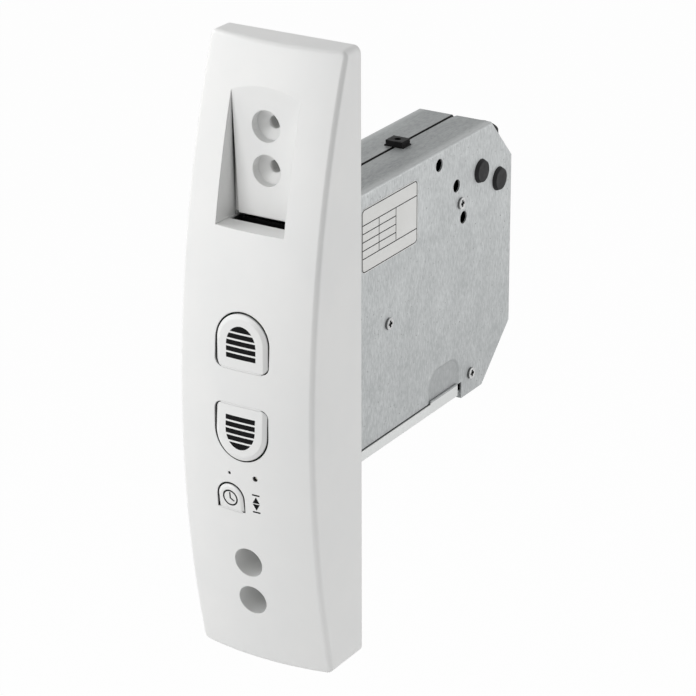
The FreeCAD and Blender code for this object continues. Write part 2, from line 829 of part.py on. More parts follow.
def base_frame():
    """The flat frame that the cover, the housing and the control board are fixed to."""
    body = new_body("base_frame")
    half_width = "(plate_width / 2 - cover_wall - frame_gap)"
    inset = "(cover_wall + frame_gap)"
    outline = rect(f"-{half_width}", half_width, f"plate_low_z + {inset}", f"plate_high_z - {inset}")
    slab(body, "XZ", "frame_front_y", "0", outline)
    half_opening = "(box_side_x + opening_gap)"
    opening = rect(f"-{half_opening}", half_opening, "opening_low_z", "box_top_z + opening_gap")
    cut(body, "XZ", "frame_front_y", "0", opening)
    tubes = [disc("0", z, "tube_diameter") for z in wall_screw_heights()]
    slab(body, "XZ", "-boss_end", "frame_front_y", *tubes)
    cut(body, "XZ", "-boss_end", "0", *[disc("0", z, "screw_bore") for z in wall_screw_heights()])
    slab(body, "XZ", "board_back_y", "frame_front_y", *board_holes("post_diameter"))
    depth = "board_screw_length"
    cut(body, "XZ", "board_back_y", f"board_back_y + {depth}", *board_holes("post_bore"))
    tip = "roller_y - ear_width / 2"
    ear = path(
        (tip, "roller_z"),
        ("roller_y", "roller_z - ear_width / 2", ("roller_y", "roller_z"), "left"),
        ("frame_front_y", "roller_z - ear_width / 2"),
        ("frame_front_y", "roller_z + ear_width / 2"),
        ("roller_y", "roller_z + ear_width / 2"),
        (tip, "roller_z", ("roller_y", "roller_z"), "left"),
    )
    slab(body, "YZ", "ear_x", "ear_x + ear_thickness", ear)
    slab(body, "YZ", "-ear_x - ear_thickness", "-ear_x", ear)
    axle_hole = disc("roller_y", "roller_z", "roller_axle_diameter")
    cut(body, "YZ", "-ear_x - ear_thickness", "ear_x + ear_thickness", axle_hole)
    pilots = [disc(x, z, "tab_screw - 0.5") for x in tab_screw_places() for z in ("upper_tab_z", "lower_tab_z")]
    cut(body, "XZ", "frame_front_y", "frame_front_y + tab_screw_length - sheet", *pilots)


def tab_screw_places():
    return ("box_side_x + tab_reach / 2 + sheet", "-(box_side_x + tab_reach / 2 + sheet)")


def slot_guide():
    """The black mouth that leads the belt into the slot."""
    body = new_body("slot_guide")
    top = "recess_z - cover_wall"
    back = "(-recess_floor + panel_thickness)"
    middle_y = f"({back} - slot_gap / 2 - panel_thickness / 2)"
    outer = rect("-guide_width / 2", "guide_width / 2", f"{back} - guide_depth", back)
    slab(body, "XY", f"{top} - guide_height", top, outer)
    half_collar = "(slot_width / 2 - frame_gap)"
    collar = rect(
        f"-{half_collar}",
        half_collar,
        "-recess_floor - slot_gap + frame_gap",
        f"{back} - frame_gap",
    )
    slab(body, "XY", top, f"{top} + guide_collar", collar)
    half_mouth = "guide_mouth_width / 2"
    mouth = rect(f"-{half_mouth}", half_mouth, f"{middle_y} - guide_mouth / 2", f"{middle_y} + guide_mouth / 2")
    cut(body, "XY", f"{top} - guide_height", f"{top} + guide_collar", mouth)
    front = f"{middle_y} - guide_mouth / 2"
    notch = polygon(
        ("-guide_notch / 2", front),
        ("0", f"{front} - guide_notch / 2"),
        ("guide_notch / 2", front),
    )
    cut(body, "XY", top, f"{top} + guide_collar", notch)


def guide_roller():
    roller = new_body("guide_roller", y="roller_y", z="roller_z")
    half = "roller_length / 2"
    slab(roller, "YZ", f"-{half}", half, disc("0", "0", "roller_diameter"))
    rim = "roller_diameter + 2 * flange_thickness"
    slab(roller, "YZ", f"-{half} - flange_thickness", f"-{half}", disc("0", "0", rim))
    slab(roller, "YZ", half, f"{half} + flange_thickness", disc("0", "0", rim))
    bore = "roller_axle_diameter + 2 * running_gap"
    cut(roller, "YZ", f"-{half} - flange_thickness", f"{half} + flange_thickness", disc("0", "0", bore))
    axle = new_body("roller_axle", y="roller_y", z="roller_z")
    end = "(ear_x + ear_thickness)"
    slab(axle, "YZ", f"-{end}", end, disc("0", "0", "roller_axle_diameter"))


# Control board

def switch_places():
    """Name, place across and height of each switch."""
    return [
        ("up", "0", "up_stem_z"),
        ("down", "0", "down_stem_z"),
        ("clock", "clock_x", "clock_stem_z"),
        ("set", "set_x", "light_z"),
    ]


def control_board():
    body = new_body("control_board")
    half_width = "board_width / 2"
    outline = rect(f"-{half_width}", half_width, "board_low_z", "board_high_z")
    slab(body, "XZ", "-board_front", "board_back_y", outline)
    cut(body, "XZ", "-board_front", "board_back_y", *board_holes("board_screw + 0.3"))


def switches():
    """Four tactile switches, and the plunger that each button presses."""
    body = new_body("switch_bodies")
    half = "switch_side / 2"
    squares = [
        rect(f"{x} - {half}", f"{x} + {half}", f"{z} - {half}", f"{z} + {half}")
        for name, x, z in switch_places()
    ]
    slab(body, "XZ", "switch_top_y", "-board_front", *squares)
    wells = [disc(x, z, "plunger_diameter + 2 * running_gap") for name, x, z in switch_places()]
    depth = "plunger_travel + plunger_collar + 2 * running_gap"
    cut(body, "XZ", "switch_top_y", f"switch_top_y + {depth}", *wells)
    for name, x, z in switch_places():
        plunger = new_body(f"{name}_plunger")
        seat = "switch_top_y + plunger_collar"
        slab(plunger, "XZ", "plunger_tip_y", seat, disc(x, z, "plunger_diameter"))
        if name == "set":
            pin_tip = "front_y + set_depth"
            slab(plunger, "XZ", pin_tip, "plunger_tip_y", disc(x, z, "set_pin"))


def status_light():
    led = new_body("status_led")
    slab(led, "XZ", "-board_front - led_height", "-board_front", disc("clock_x", "light_z", "led_diameter"))
    pipe = new_body("light_pipe")
    collar = "front_y + cover_wall + rim_round"
    foot = "-board_front - led_height - frame_gap"
    slab(pipe, "XZ", collar, foot, disc("clock_x", "light_z", "led_diameter"))
    slab(pipe, "XZ", "front_y + crown / 4", collar, disc("clock_x", "light_z", "light_pipe"))


def board_parts():
    """Relays, capacitor, controller and sockets on the back of the board."""
    relays = new_body("motor_relays")
    low = "relay_z - relay_length / 2"
    high = "relay_z + relay_length / 2"
    edge = "relay_gap / 2"
    boxes = [
        rect(edge, f"{edge} + relay_width", low, high),
        rect(f"-{edge} - relay_width", f"-{edge}", low, high),
    ]
    slab(relays, "XZ", "board_back_y", "board_back_y + relay_height", *boxes)
    chip = new_body("controller_chip")
    side = "chip_side / 2"
    slab(
        chip,
        "XZ",
        "board_back_y",
        "board_back_y + chip_height",
        rect(f"-{side}", side, f"chip_z - {side}", f"chip_z + {side}"),
    )
    capacitor = new_body("capacitor")
    can = disc("capacitor_x", "capacitor_z", "capacitor_diameter")
    slab(capacitor, "XZ", "board_back_y", "board_back_y + capacitor_height", can)
    sockets = new_body("board_connectors")
    places = [("lead_x", "lead_z"), ("-sensor_lead_x", "lead_z"), ("0", "power_lead_z")]
    half_wide = "connector_width / 2"
    half_high = "connector_height / 2"
    blocks = [
        rect(f"{x} - {half_wide}", f"{x} + {half_wide}", f"{z} - {half_high}", f"{z} + {half_high}")
        for x, z in places
    ]
    slab(sockets, "XZ", "board_back_y", "board_back_y + connector_depth", *blocks)


def board_screws():
    body = new_body("board_screws")
    head = "2 * board_screw"
    face = "-board_front"
    slab(body, "XZ", f"{face} - board_screw * 0.6", face, *board_holes(head))
    slab(body, "XZ", face, f"{face} + board_screw_length", *board_holes("post_bore"))
    heights = ("board_high_z - board_hole_inset", "board_low_z + board_hole_inset")
    crosses = [
        cross(x, z, "board_screw", "board_screw * 0.2")
        for x in ("board_hole_x", "-board_hole_x")
        for z in heights
    ]
    cut(body, "XZ", f"{face} - board_screw * 0.6", f"{face} - board_screw * 0.2", *crosses)


# Steel housing

def side_outline(low):
    """The side of the housing, with its sloping back corners and its tail."""
    return polygon(
        ("shell_front_y", low),
        ("tail_y", low),
        ("tail_y", "tail_z"),
        ("tail_back_y", "tail_z"),
        ("box_back_y", "back_low_z"),
        ("box_back_y", "chamfer_z"),
        ("top_back_y", "box_top_z"),
        ("shell_front_y", "box_top_z"),
    )


def bend_edges(side):
    """The long outer bends of a shell, as a test."""
    x = value(side)
    return lambda edge: (
        abs(middle(edge).x - x) < 0.01
        and abs(edge.valueAt(edge.FirstParameter).x - x) < 0.01
        and middle(edge).z > value("back_low_z")
        and edge.Length > 15
        and not (is_along(edge, "z") and middle(edge).y < value("spool_y"))
    )


def side_screw_places():
    """Where the axles and the pillar are screwed to the side plates."""
    return [("spool_y", "spool_z"), ("drive_y", "drive_z"), ("pillar_y", "pillar_z")]


def mounting_tabs(body, sign):
    """Two ears at the front edge of a shell, bent outwards over the base frame."""
    near_side = f"{sign}box_inner_x"
    far_side = f"{sign}(box_side_x + tab_reach)"
    for z in ("upper_tab_z", "lower_tab_z"):
        left, right = (near_side, far_side) if sign == "" else (far_side, near_side)
        tab = rect(left, right, f"{z} - tab_height / 2", f"{z} + tab_height / 2")
        slab(body, "XZ", "shell_front_y", "frame_front_y", tab)
    x = tab_screw_places()[0 if sign == "" else 1]
    holes = [disc(x, z, "tab_screw + 0.4") for z in ("upper_tab_z", "lower_tab_z")]
    cut(body, "XZ", "shell_front_y", "frame_front_y", *holes)


def right_shell():
    body = new_body("right_shell")
    seam = "seam_x + seam_gap / 2"
    slab(body, "YZ", seam, "box_side_x", side_outline("right_low_z"))
    finish_edges(body, "Fillet", "bend_round", bend_edges("box_side_x"))
    hollow = polygon(
        ("shell_front_y - 1", "tail_z - 1"),
        ("box_back_y - sheet", "tail_z - 1"),
        ("box_back_y - sheet", "inner_slope_z"),
        ("inner_top_y", "box_top_z - sheet"),
        ("shell_front_y - 1", "box_top_z - sheet"),
    )
    cut(body, "YZ", f"{seam} - 1", "box_inner_x", hollow)
    mounting_tabs(body, "")
    holes = [disc(y, z, "shell_screw + 0.3") for y, z in side_screw_places()]
    for name in ("low", "middle", "high"):
        y = f"spool_y + {name}_hole_reach * cos({name}_hole_angle)"
        z = f"spool_z + {name}_hole_reach * sin({name}_hole_angle)"
        holes.append(disc(y, z, "open_hole"))
    for plug in ("a", "b"):
        holes.append(disc(f"plug_{plug}_y", f"plug_{plug}_z", "plug_neck"))
    cut(body, "YZ", "box_inner_x", "box_side_x", *holes)
    press = path(
        ("press_start_y", "right_low_z - 4"),
        ("press_end_y", "right_low_z - 4"),
        ("press_end_y", "press_top_z - press_round"),
        (
            "press_end_y - press_round",
            "press_top_z",
            ("press_end_y - press_round", "press_top_z - press_round"),
            "left",
        ),
        ("press_start_y + press_round", "press_top_z"),
        (
            "press_start_y",
            "press_top_z - press_round",
            ("press_start_y + press_round", "press_top_z - press_round"),
            "left",
        ),
    )
    pressed = cut(body, "YZ", "box_side_x - press_depth", "box_side_x", press)
    pressed.setExpression("TaperAngle", linked("-press_slope"))
    inner_press = rect("press_start_y", "press_end_y", "right_low_z", "press_top_z - press_round / 2")
    slab(body, "YZ", "box_inner_x - press_depth", "box_inner_x", inner_press)
    cut(body, "XY", "box_top_z - sheet", "box_top_z", clip_notch(seam, f"{seam} + clip_stem / 2"))
    nick = polygon(
        (seam, "top_back_y - seam_nick"),
        (f"{seam} + seam_nick / 4", "top_back_y + 0.5"),
        (seam, "top_back_y + 0.5"),
    )
    cut(body, "XY", "box_top_z - 3 * sheet", "box_top_z", nick)
    plug_hole_in_slope(body)


def clip_notch(left, right):
    return rect(left, right, "clip_y - clip_stem / 2", "clip_y + clip_stem / 2")


def plug_hole_in_slope(body):
    """The hole of the third plug, square to the sloping back corner."""
    y, z = slope_place()
    face = slope_face(body)
    sketch = body.newObject("Sketcher::SketchObject", "slope_hole_sketch")
    sketch.AttachmentSupport = (body.Tip, [face])
    sketch.MapMode = "FlatFace"
    doc.recompute()
    spot = sketch.Placement.inverse().multVec(vector(value("plug_c_x"), value(y), value(z)))
    sketch.addGeometry(Part.Circle(vector(spot.x, spot.y, 0), vector(0, 0, 1), value("plug_neck") / 2), False)
    number = sketch.addConstraint(Sketcher.Constraint("Diameter", 0, value("plug_neck")))
    sketch.setExpression(f"Constraints[{number}]", linked("plug_neck"))
    pocket = body.newObject("PartDesign::Pocket", "slope_hole")
    pocket.Profile = sketch
    pocket.setExpression("Length", linked("2 * sheet"))


def slope_place():
    """Where the third plug stands on the slope, as a share of its length from the top."""
    return (
        "top_back_y + plug_c_share * (box_back_y - top_back_y)",
        "box_top_z - plug_c_share * (box_top_z - chamfer_z)",
    )


def slope_face(body):
    """The outer face of the sloping back corner."""
    doc.recompute()
    angle = math.radians(value("slope_angle"))
    normal = vector(0, math.sin(angle), math.cos(angle))
    for number, face in enumerate(body.Tip.Shape.Faces, start=1):
        if face.Surface.TypeId != "Part::GeomPlane" or face.Area < 100:
            continue
        if (face.normalAt(0, 0) - normal).Length < 0.01:
            return f"Face{number}"
    raise ValueError("no sloping face")


def left_shell():
    body = new_body("left_shell")
    seam = "seam_x - seam_gap / 2"
    slab(body, "YZ", "-box_side_x", seam, side_outline("box_floor_z"))
    finish_edges(body, "Fillet", "bend_round", bend_edges("-box_side_x"))
    inner = [
        ("shell_front_y - 1", "box_floor_z + sheet"),
        ("tail_y + sheet", "box_floor_z + sheet"),
        ("tail_y + sheet", "tail_z + sheet"),
        ("inner_tail_y", "tail_z + sheet"),
        ("box_back_y - sheet", "inner_back_low_z"),
        ("box_back_y - sheet", "inner_slope_z"),
        ("inner_top_y", "box_top_z - sheet"),
        ("shell_front_y - 1", "box_top_z - sheet"),
    ]
    cut(body, "YZ", "-box_inner_x", f"{seam} + 1", polygon(*inner))
    floor = polygon(
        ("shell_front_y", "box_floor_z"),
        ("tail_y", "box_floor_z"),
        ("tail_y", "tail_z"),
        ("tail_back_y", "tail_z"),
        ("box_back_y - sheet", "back_low_z - sheet * tan(tail_angle)"),
        ("box_back_y - sheet", "inner_back_low_z"),
        ("inner_tail_y", "tail_z + sheet"),
        ("tail_y + sheet", "tail_z + sheet"),
        ("tail_y + sheet", "box_floor_z + sheet"),
        ("shell_front_y", "box_floor_z + sheet"),
    )
    slab(body, "YZ", f"{seam} - 1", "box_inner_x - frame_gap", floor)
    lip_x = "(box_side_x + lip_offset - sheet)"
    foot = rect("box_inner_x - frame_gap - 1", "box_side_x + lip_offset", "lip_start_y", "lip_end_y")
    slab(body, "XY", "box_floor_z", "box_floor_z + sheet", foot)
    lip = rect("lip_start_y", "lip_end_y", "box_floor_z", "lip_top_z")
    slab(body, "YZ", lip_x, "box_side_x + lip_offset", lip)
    overlap_x = "box_side_x - press_depth + frame_gap"
    tongue = rect("press_start_y + 1", "lip_end_y", "lip_top_z - 1", "lip_top_z + press_overlap")
    slab(body, "YZ", overlap_x, "box_side_x + lip_offset", tongue)
    mounting_tabs(body, "-")
    holes = [disc(y, z, "shell_screw + 0.3") for y, z in side_screw_places()]
    cut(body, "YZ", "-box_side_x", "-box_inner_x", *holes)
    cut(body, "XY", "box_top_z - sheet", "box_top_z", clip_notch(f"{seam} - clip_stem / 2", seam))
    inlet = disc("0", "inlet_y", "inlet_collar")
    cut(body, "XY", "box_floor_z", "box_floor_z + sheet", inlet)


def tab_screws():
    """Four screws that hold the ears of the housing to the base frame."""
    body = new_body("frame_screws")
    places = [(x, z) for x in tab_screw_places() for z in ("upper_tab_z", "lower_tab_z")]
    face = "shell_front_y"
    head = "tab_screw * 0.6"
    slab(body, "XZ", f"{face} - {head}", face, *[disc(x, z, "2 * tab_screw") for x, z in places])
    slab(body, "XZ", face, f"{face} + tab_screw_length", *[disc(x, z, "tab_screw - 0.5") for x, z in places])
    slots = [cross(x, z, "tab_screw", "tab_screw * 0.2") for x, z in places]
    cut(body, "XZ", f"{face} - {head}", f"{face} - {head} / 3", *slots)


def side_screws(label, sign):
    """Three pan-head screws through one side plate, into the axles and the pillar."""
    body = new_body(label)
    places = side_screw_places()
    heads = [disc(y, z, "shell_screw_head") for y, z in places]
    shanks = [disc(y, z, "screw_core") for y, z in places]
    slots = [cross(y, z, "shell_screw_head * 0.6", "shell_screw_head * 0.23") for y, z in places]
    face = "box_side_x"
    top = "(box_side_x + shell_screw_head_height)"
    tip = "(box_side_x - shell_screw_length)"
    slot_low = "(box_side_x + shell_screw_head_height * 0.3)"
    if sign == "":
        slab(body, "YZ", face, top, *heads)
        slab(body, "YZ", tip, face, *shanks)
        cut(body, "YZ", slot_low, top, *slots)
    else:
        slab(body, "YZ", f"-{top}", f"-{face}", *heads)
        slab(body, "YZ", f"-{face}", f"-{tip}", *shanks)
        cut(body, "YZ", f"-{top}", f"-{slot_low}", *slots)


def axle(label, y, z, diameter):
    """A steel rod between the side plates, bored at both ends for a screw."""
    body = new_body(label, y=y, z=z)
    slab(body, "YZ", "-box_inner_x", "box_inner_x", disc("0", "0", diameter))
    core = disc("0", "0", "screw_core")
    depth = "shell_screw_length - sheet + 1"
    cut(body, "YZ", f"box_inner_x - ({depth})", "box_inner_x", core)
    cut(body, "YZ", "-box_inner_x", f"-box_inner_x + {depth}", core)


def rubber_plug(name):
    """One plug, standing along Z with the sheet's outer face at zero."""
    parts = []
    shapes = [
        ("Cone", "head", "0", "plug_height"),
        ("Cylinder", "neck", "-sheet", "sheet"),
        ("Cylinder", "lip", "-sheet - plug_lip_height", "plug_lip_height"),
    ]
    for kind, part, start, height in shapes:
        solid = doc.addObject(f"Part::{kind}", f"{name}_{part}")
        solid.setExpression("Height", linked(height))
        solid.setExpression("Placement.Base.z", linked(start))
        if kind == "Cone":
            solid.setExpression("Radius1", linked("plug_head / 2"))
            solid.setExpression("Radius2", linked("plug_face / 2"))
        else:
            solid.setExpression("Radius", linked(f"plug_{part} / 2"))
        parts.append(solid)
    plug = doc.addObject("Part::MultiFuse", name)
    plug.Shapes = parts
    plug.Refine = True
    return plug


def rubber_plugs():
    slope_y, slope_z = slope_place()
    places = [
        ("box_side_x", "plug_a_y", "plug_a_z", "90", (0, 1, 0)),
        ("box_side_x", "plug_b_y", "plug_b_z", "90", (0, 1, 0)),
        ("plug_c_x", slope_y, slope_z, "-slope_angle", (1, 0, 0)),
    ]
    plugs = []
    for number, (x, y, z, angle, axis) in enumerate(places, start=1):
        plug = rubber_plug(f"plug_{number}")
        plug.Placement.Rotation = FreeCAD.Rotation(vector(*axis), value(angle))
        if angle != "90":
            plug.Placement.Rotation = FreeCAD.Rotation(vector(-1, 0, 0), -value(angle))
            plug.setExpression("Placement.Rotation.Angle", linked("slope_angle"))
        for key, formula in (("x", x), ("y", y), ("z", z)):
            plug.setExpression(f"Placement.Base.{key}", linked(formula))
        plugs.append(plug)
    group = doc.addObject("Part::Compound", "rubber_plugs")
    group.Label = "rubber_plugs"
    group.Links = plugs
    PIECES.append(group)


def seam_clip():
    """A black clip that bridges the seam on top of the housing."""
    body = new_body("seam_clip", z="box_top_z")
    half_x = "clip_width / 2"
    half_y = "clip_depth / 2"
    left = f"seam_x - {half_x}"
    right = f"seam_x + {half_x}"
    foot = rect(f"{left} - clip_foot", f"{right} + clip_foot", f"clip_y - {half_y}", f"clip_y + {half_y}")
    slab(body, "XY", "0", "clip_foot_height", foot)
    block = rect(left, right, f"clip_y - {half_y}", f"clip_y + {half_y}")
    slab(body, "XY", "clip_foot_height", "clip_height", block)
    half_stem = "clip_stem / 2 - frame_gap"
    stem = rect(f"seam_x - ({half_stem})", f"seam_x + {half_stem}", f"clip_y - ({half_stem})", f"clip_y + {half_stem}")
    slab(body, "XY", "-sheet", "0", stem)
    half_catch = "clip_width / 2 - clip_foot"
    catch = rect(
        f"seam_x - ({half_catch})",
        f"seam_x + {half_catch}",
        f"clip_y - ({half_stem})",
        f"clip_y + {half_stem}",
    )
    slab(body, "XY", "-sheet - clip_catch", "-sheet", catch)
    cut(body, "XY", "0", "clip_height", disc("seam_x", "clip_y", "clip_hole"))


def rating_label():
    body = new_body("rating_label")
    outline = rounded("label_start_y", "label_end_y", "label_low_z", "label_high_z", "label_round")
    slab(body, "YZ", "box_side_x", "box_side_x + label_thickness", outline)


# Spool and drive

def gear_teeth(body, low, high, module, count, clearance):
    """Teeth round the X axis on a root disc. The first tooth points along Y."""
    pitch = f"{module} * {count} / 2"
    root = f"{pitch} - 1.25 * {module}"
    half_root = f"0.95 * {module}"
    half_pitch = f"{module} * pi / 4 - {clearance} / 2"
    half_tip = f"0.37 * {module}"
    slab(body, "YZ", low, high, disc("0", "0", f"2 * ({root})"))
    tooth = polygon(
        (f"{root} - {module} / 4", f"-({half_root})"),
        (pitch, f"-({half_pitch})"),
        (f"{pitch} + {module}", f"-({half_tip})"),
        (f"{pitch} + {module}", half_tip),
        (pitch, half_pitch),
        (f"{root} - {module} / 4", half_root),
    )
    spin_pattern(body, slab(body, "YZ", low, high, tooth), count)


def screw_ring(y_radius, diameter):
    """Three places on a circle round the X axis."""
    return [
        disc(f"{y_radius} * cos({angle})", f"{y_radius} * sin({angle})", diameter)
        for angle in (90, 210, 330)
    ]


def belt_spool():
    """Hub and left flange in one moulding, with the slit that holds the end of the belt."""
    body = new_body("belt_spool", y="spool_y", z="spool_z", turn="drive_angle")
    half = "belt_space / 2"
    slab(body, "YZ", f"-{half}", half, disc("0", "0", "hub_diameter"))
    flange = disc("0", "0", "flange_diameter")
    slab(body, "YZ", f"-{half} - flange_thickness", f"-{half}", flange)
    end = "-box_inner_x + side_play"
    slab(body, "YZ", end, f"-{half} - flange_thickness", disc("0", "0", "collar_diameter"))
    cut(body, "YZ", end, half, disc("0", "0", "bush_diameter"))
    rim = "hub_diameter / 2"
    slit = rect(f"{rim} - belt_slit_depth", f"{rim} + 1", "-belt_slit / 2", "belt_slit / 2")
    cut(body, "YZ", f"-{half}", half, slit)
    pilots = screw_ring("spool_screw_circle / 2", "spool_screw - 0.5")
    cut(body, "YZ", f"{half} - spool_screw_length", half, *pilots)
    slots = [
        rounded(
            "hub_diameter / 2 + 4",
            "flange_diameter / 2 - 8",
            f"-{width}",
            width,
            "1.5",
        )
        for width in ("hub_rib_recess / 2",)
    ]
    window = cut(body, "YZ", f"-{half} - flange_thickness", f"-{half}", *slots)
    spin_pattern(body, window, "6")


def spool_gear():
    """The right flange, toothed round its rim and screwed to the hub."""
    body = new_body("spool_gear", y="spool_y", z="spool_z", turn="drive_angle")
    low = "spool_gear_x"
    high = "spool_gear_x + gear_width"
    gear_teeth(body, low, high, "gear_module", "spool_teeth", "backlash")
    cut(body, "YZ", low, high, disc("0", "0", "bush_diameter"))
    dish = "gear_width - flange_thickness"
    outer = disc("0", "0", "flange_diameter - 6 * gear_module")
    cut(body, "YZ", f"{high} - ({dish})", high, outer)
    slab(body, "YZ", low, high, disc("0", "0", "hub_diameter"))
    cut(body, "YZ", low, high, disc("0", "0", "bush_diameter"), *screw_ring("spool_screw_circle / 2", "spool_screw + 0.2"))


def spool_screws():
    body = new_body("spool_screws", y="spool_y", z="spool_z", turn="drive_angle")
    face = "spool_gear_x + gear_width"
    head = "spool_screw * 0.36"
    circle = "spool_screw_circle / 2"
    slab(body, "YZ", face, f"{face} + {head}", *screw_ring(circle, "spool_screw * 1.8"))
    tip = f"{face} - spool_screw_length"
    slab(body, "YZ", tip, face, *screw_ring(circle, "spool_screw - 0.5"))


def spool_bushes():
    """Two flanged bushes pressed into the ends of the spool."""
    body = new_body("spool_bushes", y="spool_y", z="spool_z")
    left = "-box_inner_x + side_play"
    right = "spool_gear_x + gear_width"
    ring = disc("0", "0", "bush_diameter")
    slab(body, "YZ", left, f"{left} + bush_length", ring)
    slab(body, "YZ", f"{right} - bush_length", "box_inner_x - side_play", ring)
    slab(body, "YZ", right, "box_inner_x - side_play", disc("0", "0", "bush_diameter + 2"))
    bore = disc("0", "0", "spool_axle_diameter + 2 * running_gap")
    cut(body, "YZ", "-box_inner_x", "box_inner_x", bore)


def worm_wheel():
    """Worm wheel with the long hub that carries the drive gear."""
    body = new_body("worm_wheel", y="drive_y", z="drive_z", turn="180 / wheel_teeth")
    half = "wheel_width / 2"
    gear_teeth(body, f"-{half}", half, "wheel_module", "wheel_teeth", "2 * backlash")
    left = "-box_inner_x + side_play"
    slab(body, "YZ", left, "spool_gear_x", disc("0", "0", "drive_hub_diameter"))
    slab(body, "YZ", "spool_gear_x", "spool_gear_x + gear_width", hexagon("0", "0", "drive_hex"))
    bore = disc("0", "0", "drive_axle_diameter + 2 * running_gap")
    cut(body, "YZ", left, "spool_gear_x + gear_width", bore)


def drive_gear():
    """The gear in mesh with the spool gear, driven by a hexagon."""
    turn = "180 + drive_angle + 180 / drive_teeth"
    body = new_body("drive_gear", y="drive_y", z="drive_z", turn=turn)
    low = "spool_gear_x"
    high = "spool_gear_x + gear_width"
    gear_teeth(body, low, high, "gear_module", "drive_teeth", "backlash")
    seat = "drive_hub_diameter + 4"
    cut(body, "YZ", f"{high} - 1", high, disc("0", "0", "gear_module * (drive_teeth - 6)"))
    slab(body, "YZ", f"{high} - 1", high, disc("0", "0", seat))


def drive_gear_bore():
    """Cut the hexagon of the wheel's hub out of the drive gear."""
    gear = doc.getObject("drive_gear")
    bore = new_body("drive_gear_hexagon", y="drive_y", z="drive_z", turn="180 / wheel_teeth", kept=False)
    slab(bore, "YZ", "spool_gear_x - 1", "spool_gear_x + gear_width + 1", hexagon("0", "0", "drive_hex + 2 * running_gap"))
    PIECES.remove(gear)
    gear.Label = "drive_gear_blank"
    bored = doc.addObject("Part::Cut", "drive_gear_bored")
    bored.Label = "drive_gear"
    bored.Base = gear
    bored.Tool = bore
    PIECES.append(bored)


def worm():
    """Single-start worm on the motor shaft: a core with a helical thread."""
    length = value("worm_length")
    lead = math.pi * value("wheel_module")
    root = value("worm_root_diameter") / 2
    core = Part.makeCylinder(root, length, vector(0, 0, -length / 2))
    turns = int((length - 2 * value("wheel_module")) / lead)
    start = -turns * lead / 2
    helix = Part.makeHelix(lead, turns * lead, root)
    helix.translate(vector(0, 0, start))
    sunk = 0.2
    tip = root + value("thread_height")
    half_base = value("thread_base") / 2
    half_tip = value("thread_tip") / 2
    corners = [
        vector(root - sunk, 0, start - half_base),
        vector(tip, 0, start - half_tip),
        vector(tip, 0, start + half_tip),
        vector(root - sunk, 0, start + half_base),
    ]
    section = Part.makePolygon(corners + corners[:1])
    thread = Part.Wire(helix.Edges).makePipeShell([section], True, True)
    bore = Part.makeCylinder(value("motor_shaft_diameter") / 2, length + 2, vector(0, 0, -length / 2 - 1))
    piece = doc.addObject("Part::Feature", "worm")
    piece.Label = "worm"
    piece.Shape = core.fuse(thread).cut(bore)
    turn = 180.0 if turns % 2 == 0 else 0.0
    piece.Placement = FreeCAD.Placement(
        vector(0, value("motor_y"), value("drive_z")),
        FreeCAD.Rotation(vector(0, 0, 1), 90.0 + turn),
    )
    PIECES.append(piece)


